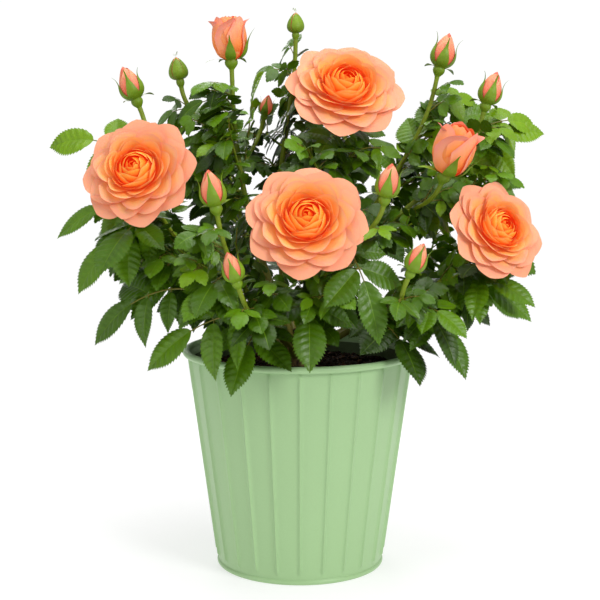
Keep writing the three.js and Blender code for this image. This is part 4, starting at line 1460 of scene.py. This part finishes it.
class Bloom:
    """How one kind of flower is built, whorl by whorl from the heart outwards."""

    def __init__(self, whorls, even, foot, corner, cupping, ripple, twist=0.0, lap=1.2):
        self.whorls = [dict(zip(WHORL_FIELDS, values)) for values in whorls]
        self.even, self.foot, self.corner = even, foot, corner
        self.cupping, self.ripple, self.twist, self.lap = cupping, ripple, twist, lap

    def profile(self, k):
        """The curve of a petal of whorl k in its middle: radius and height."""
        whorl = self.whorls[k]
        q = k / (len(self.whorls) - 1)
        foot = np.array([blend(*self.foot, q), PETAL_FOOT])
        rim = np.array([whorl["rim"], whorl["height"]])
        span = np.linalg.norm(rim - foot)
        low, high = math.radians(whorl["foot_lean"]), math.radians(whorl["rim_lean"])
        first = foot + np.array([math.sin(low), math.cos(low)]) * span * 0.5
        last = rim - np.array([math.sin(high), math.cos(high)]) * span * 0.36
        return Curve(foot, first, last, rim)

    def petal(self, k, turn, draw):
        """The grid of one petal and its tones."""
        whorl, q = self.whorls[k], k / (len(self.whorls) - 1)
        wrapped = whorl["half"] > WRAPPED_FROM
        rows, columns = (13, 15) if wrapped else (18, 17)
        t = np.linspace(-1, 1, columns)
        s = np.linspace(0, 1, rows)[:, None] ** 0.8
        # how far up each column ends: low at the corners, with a point in the middle
        corner = blend(*self.corner, q)
        top = 1 - corner * np.abs(t) ** 2.2 + 0.03 * q * np.exp(-((t / 0.15) ** 2))
        top = top + 0.014 * np.sin(t * draw.uniform(4, 8) + draw.uniform(0, 6))
        curve = self.profile(k)
        place, slope = curve.at(s * top), curve.tangent(s * top)
        # off the curve: one side laps over the next petal, edges cup, the rim ripples
        edge = np.abs(t) ** 2.5 * s
        wave = np.sin(3.2 * t + draw.uniform(0, ANY_TURN)) * s**3 * self.ripple * (0.2 + q)
        lift = self.lap * (0.33 if wrapped else 1) * t * s + self.cupping * edge * q + 0.8 * wave
        r = np.maximum(place[..., 0] - slope[..., 1] * lift, 0.1)
        z = place[..., 1] + slope[..., 0] * lift
        half = math.radians(whorl["half"]) * draw.uniform(0.94, 1.06)
        angle = turn + half * t * (0.8 + 0.2 * s) + self.twist * s
        grid = np.stack([r * np.cos(angle), r * np.sin(angle), z], axis=-1)
        # deeper at the foot, partly own colour and partly painted shade; a painted highlight at
        # the rim; paler at the sides
        tone = whorl["tone"] - 0.62 * (1 - s) ** 1.2 + 0.26 * s**8 + 0.06 * np.abs(t) ** 3 * s
        return grid, np.clip(tone + draw.uniform(-0.04, 0.04), 0, 1)

    def make(self, seed):
        """Every petal of a flower that stands on the origin and faces up."""
        draw = np.random.default_rng(seed)
        turn = draw.uniform(0, ANY_TURN)
        made = []
        for k, whorl in enumerate(self.whorls):
            count = whorl["petals"]
            left = len(self.whorls) - k
            if left <= self.even:
                turn = -math.pi / 2 + (left - 1) * math.pi / count + draw.uniform(-0.15, 0.15)
            for _ in range(count):
                made.append(self.petal(k, turn, draw))
                turn += 2 * math.pi / count if left <= self.even else GOLDEN_TURN
                turn += draw.uniform(-0.07, 0.07)
        return made


print("numbers for a whorl", len(WHORL_FIELDS))

# %% [markdown]
# ## Kinds of flower
#
# A full bloom has twelve whorls that go from upright staves to a flat collar. A cup keeps
# its petals closed but for the last whorl, and a bud is wound shut. Lengths are in
# millimetres from the flower's base, leans and half widths in degrees.

# %% Kinds of flower
BLOOMS = {
    "bloom": Bloom(
        [
            # petals, rim, height, foot lean, rim lean, half width, tone
            (3, 1.0, 27.4, 15, -50, 120, 0.16),
            (4, 2.9, 27.8, 30, -52, 92, 0.22),
            (5, 5.2, 27.5, 42, -54, 74, 0.28),
            (5, 7.9, 26.5, 50, -50, 64, 0.34),
            (5, 10.8, 25.2, 52, -36, 56, 0.42),
            (5, 13.6, 25.8, 48, -10, 52, 0.48),
            (5, 16.6, 25.8, 46, 10, 48, 0.55),
            (6, 20.0, 25.0, 45, 32, 45, 0.63),
            (6, 24.0, 23.2, 46, 52, 43, 0.72),
            (7, 28.6, 20.4, 52, 69, 39, 0.8),
            (8, 33.2, 17.0, 60, 84, 36, 0.9),
            (8, 37.6, 13.6, 68, 98, 39, 1.0),
        ],
        even=7, foot=(1.2, 4.4), corner=(0.24, 0.4), cupping=0.8, ripple=1.4,
    ),
    "cup": Bloom(
        [
            (3, 0.6, 33.0, 30, -42, 125, 0.2),
            (3, 2.0, 33.2, 42, -44, 108, 0.28),
            (4, 4.0, 33.0, 50, -42, 86, 0.36),
            (4, 6.2, 32.6, 52, -36, 74, 0.46),
            (3, 8.8, 32.8, 57, -14, 70, 0.7),
            (4, 13.0, 31.0, 66, 60, 57, 0.95),
        ],
        even=2, foot=(1.2, 4.2), corner=(0.2, 0.46), cupping=-0.6, ripple=0.6, lap=2.6,
    ),
    "bud": Bloom(
        [
            (2, 0.4, 28.8, 46, -34, 140, 0.35),
            (2, 0.9, 28.2, 58, -36, 122, 0.55),
            (3, 2.2, 27.0, 66, -36, 96, 0.9),
        ],
        even=0, foot=(1.6, 2.6), corner=(0.1, 0.3), cupping=0.4, ripple=0.2, twist=0.9,
    ),
    "green_bud": Bloom(
        [(2, 0.4, 21.0, 62, -42, 140, 0.7), (3, 0.8, 20.4, 74, -50, 110, 0.95)],
        even=0, foot=(1.2, 2.4), corner=(0.1, 0.1), cupping=0.2, ripple=0.1, twist=0.6,
    ),
}
print("petals of a bloom", sum(whorl["petals"] for whorl in BLOOMS["bloom"].whorls))

# %% [markdown]
# ## Green parts of a flower
#
# Under the petals sit a small urn, five sepals and the stalk. On a bud most sepals still
# hug the petals and only their long thin points stand off, while one or two have already
# folded out. Under an open flower all have folded back. A green bud is closed by them up
# to its tip. Each sepal is a sheet that follows the outermost petal's own curve as far
# as it hugs it, and then leaves it.

# %% Green parts
SEPALS = {
    # length, share that hugs, turn after that in degrees, width, distance from the petals,
    # and which ones have folded out
    "bloom": (17, 0, 0, 5.0, 0, (0, 1, 2, 3, 4)),
    "cup": (23, 0.42, 40, 7.0, 1.5, (2, 3, 4)),
    "bud": (25, 0.6, 60, 8.6, 0.5, (2, 3)),
    "green_bud": (24, 0.8, 8, 9.6, 0.5, ()),
}
FOLDED, FOLDED_LENGTH = (70, 128), 0.62
HUGGING_SHAPE = (0.75, 1, 1, 0.66, 0.24, 0.13, 0.06)
FOLDED_SHAPE = (0.75, 1, 1, 0.8, 0.5, 0.28, 0.06)
URN_WIDTHS = {"bloom": 4.8, "cup": 4.4, "bud": 4.2, "green_bud": 3.0}


def run(steps):
    """Sums up steps, from nothing."""
    return np.concatenate([[0], np.cumsum(steps)])


def folded_line(s, draw):
    """Where a folded sepal starts, and how far it leans out along its length."""
    end = FOLDED[1] * draw.uniform(0.8, 1.05)
    return np.array([3.2, 5.0]), np.radians(blend(FOLDED[0], end, s**1.2))


def hugging_line(kind, s, length):
    """The same for a sepal that follows the outermost petal's curve and then leaves it."""
    _, hugging, turn_off, _, apart, _ = SEPALS[kind]
    bloom = BLOOMS[kind]
    curve = bloom.profile(len(bloom.whorls) - 1)
    fine = np.linspace(0, 1, 200)
    gone = run(np.linalg.norm(np.diff(curve.at(fine), axis=0), axis=1))
    slope = curve.tangent(np.interp(np.minimum(s, hugging) * length, gone, fine))
    off = turn_off * np.maximum(0, s - hugging) / (1 - hugging)
    angles = np.arctan2(slope[:, 0], slope[:, 1]) + np.radians(off)
    return curve.at(0.0) + np.array([apart, -0.2]), angles


def sepal(kind, number, draw):
    """A narrow sheet that is bent along its line and round the flower's axis."""
    length, _, _, width, _, folded = SEPALS[kind]
    length = length * draw.uniform(0.88, 1.06)
    turn = number * 2 * math.pi / 5 - math.pi / 2 + draw.uniform(-0.12, 0.12)
    s = np.linspace(0, 1, 19)
    if number in folded:
        (first, angles), shape = folded_line(s, draw), FOLDED_SHAPE
        length = length * FOLDED_LENGTH
    else:
        (first, angles), shape = hugging_line(kind, s, length), HUGGING_SHAPE
    step = length / (len(s) - 1)
    middle = (angles[1:] + angles[:-1]) / 2
    r = first[0] + run(np.sin(middle) * step)
    z = first[1] + run(np.cos(middle) * step)
    half = width / 2 * np.interp(s, [0, 0.14, 0.3, 0.5, 0.7, 0.85, 1], shape)
    if kind == "green_bud":
        closed = np.minimum(1.02 * math.pi * r / 5, width / 2)
        half = closed * np.interp(s, [0, 0.66, 0.82, 1], [1, 0.9, 0.5, 0.12])
    t = np.linspace(-1, 1, 7)
    around = np.maximum(r, 2.5)[:, None]
    angle = turn + half[:, None] * t / around
    ridge = 0.3 * (1 - np.abs(t)) * np.minimum(1, half)[:, None]
    out = r[:, None] + 0.2 + ridge
    return np.stack([out * np.cos(angle), out * np.sin(angle), z[:, None] + 0 * t], axis=-1)


def urn(kind):
    """The hip under the petals, round below and narrowed to a neck."""
    z = np.array([-2.5, -1.2, 0, 1.0, 2.4, 3.8, 5.0, 6, 6.8])
    r = np.array([1.5, 1.7, 2.3, 3.1, 3.8, 3.95, 3.6, 3.2, 3.1]) * URN_WIDTHS[kind] / 3.95
    r[:2] = (STALK_RADIUS, 1.6)
    return ring(r[:, None], z[:, None], whole_turn(20))


print("points of a sepal", sepal("bud", 0, np.random.default_rng(0)).shape[:2])

# %% [markdown]
# ## Petal skin
#
# The tone of each point picks its colour from a row of stops, and faint veins of noise
# trouble it. Light that has passed through the outer petals still lights the heart, which
# a faint glow of its own colour stands for.

# %% Petal skin
GLOW = 0.16


def petal_finish(name, stops):
    """Petal skin from stops of tone and linear colour."""
    made = Finish(
        name,
        {
            "Specular IOR Level": 0.2,
            "Subsurface Weight": 0.3,
            "Subsurface Scale": 0.004,
            "Subsurface Radius": (1.0, 0.3, 0.12),
            "Emission Strength": GLOW,
        },
    )
    tone = made.node("ShaderNodeAttribute", {"attribute_name": "tone"}, {}, out=2)
    vein = made.noise(240, detail=3)
    glows = [(0.1, stops[0][1]), (1.0, tuple(0.4 * v for v in stops[-1][1]))]
    made.wear(
        Base_Color=made.ramp(tone + vein * 0.1 - 0.05, stops),
        Emission_Color=made.ramp(tone, glows),
        Roughness=0.5 + vein * 0.15,
        Normal=made.bump(made.noise(1100, detail=2), 0.0001, 0.5),
    )
    return made


PETAL_TONES = {
    # name of the finish: tone and screen colour at each stop
    "petal": (
        (0.0, (242, 62, 4)), (0.2, (248, 104, 18)), (0.42, (250, 150, 42)),
        (0.62, (246, 176, 86)), (0.84, (242, 175, 112)), (1.0, (240, 162, 127)),
    ),
    "cup_petal": (
        (0.1, (240, 96, 28)), (0.4, (246, 146, 74)), (0.75, (244, 158, 120)),
        (1.0, (240, 148, 126)),
    ),
    "bud_petal": ((0.2, (222, 66, 52)), (0.6, (240, 122, 94)), (1.0, (246, 162, 124))),
}
petal_skin, cup_skin, bud_skin = (
    petal_finish(name, [(tone, paint(*colour)) for tone, colour in stops])
    for name, stops in PETAL_TONES.items()
)
SKINS = {"bloom": petal_skin, "cup": cup_skin, "bud": bud_skin, "green_bud": bud_skin}
sepal_green = leaf_finish("sepal_green", paint(116, 148, 26), 0.4)
print("skins of petals", len(PETAL_TONES))

# %% [markdown]
# ## Flowers on their stalks
#
# Every flower of the plan is made upright at the origin and then stood up at its place,
# the way it faces. Its petals are one piece, and its sepals, urn and stalk are another. The
# seed is taken from its place, so a flower keeps its form when others are added.

# %% Flowers
def standing(flower):
    """Stands a flower up along the way it faces, at its place and size."""
    _, base, faces, size = flower
    axis = facing(faces)
    v = np.cross(UP, axis)
    cross = np.array([[0, -v[2], v[1]], [v[2], 0, -v[0]], [-v[1], v[0], 0]])
    turn = np.eye(3) + cross + cross @ cross / (1 + axis[2])
    return lambda grid: grid * size @ turn.T + np.array(base)


for shoot in shoots:
    flowers = [(shoot.flower, shoot.path, NECK, shoot.name)]
    for side, curve in zip(shoot.sides, shoot.side_paths):
        flowers.append((side, curve, SIDE_NECK, "beside_" + shoot.name))
    for flower, curve, start, name in flowers:
        kind, size = flower[0], flower[3]
        seed = sum(map(abs, flower[1]))
        place = standing(flower)
        draw = np.random.default_rng(seed)
        petals, greens = Skin(), Skin()
        for grid, tones in BLOOMS[kind].make(seed):
            petals.add(place(grid), tone=tones)
        for number in range(5):
            greens.add(place(sepal(kind, number, draw)))
        greens.add(place(urn(kind)), closed=True)
        radii = bark_radii(STALK_RADIUS, STALK_RADIUS * 1.1, 30, 12, seed)
        greens.add(tube(curve, start, 1, radii, 12), finish=1, closed=True)
        node = kind + "_" + name
        petals.piece("petals_" + node, [SKINS[kind]], "petal", node)
        greens.piece("stalk_" + node, [sepal_green, twig_green], "petal", node)
print("flowers made", sum(1 + len(shoot.sides) for shoot in shoots))

# %% [markdown]
# ## The box of the solids
#
# The finished pieces must fill the box of the solids and not outgrow it. The box of the
# solids is written down once more at the end.

# %% Sizes and finish
print("solids ", [round(v, 4) for v in (*cad_low, *cad_high)])
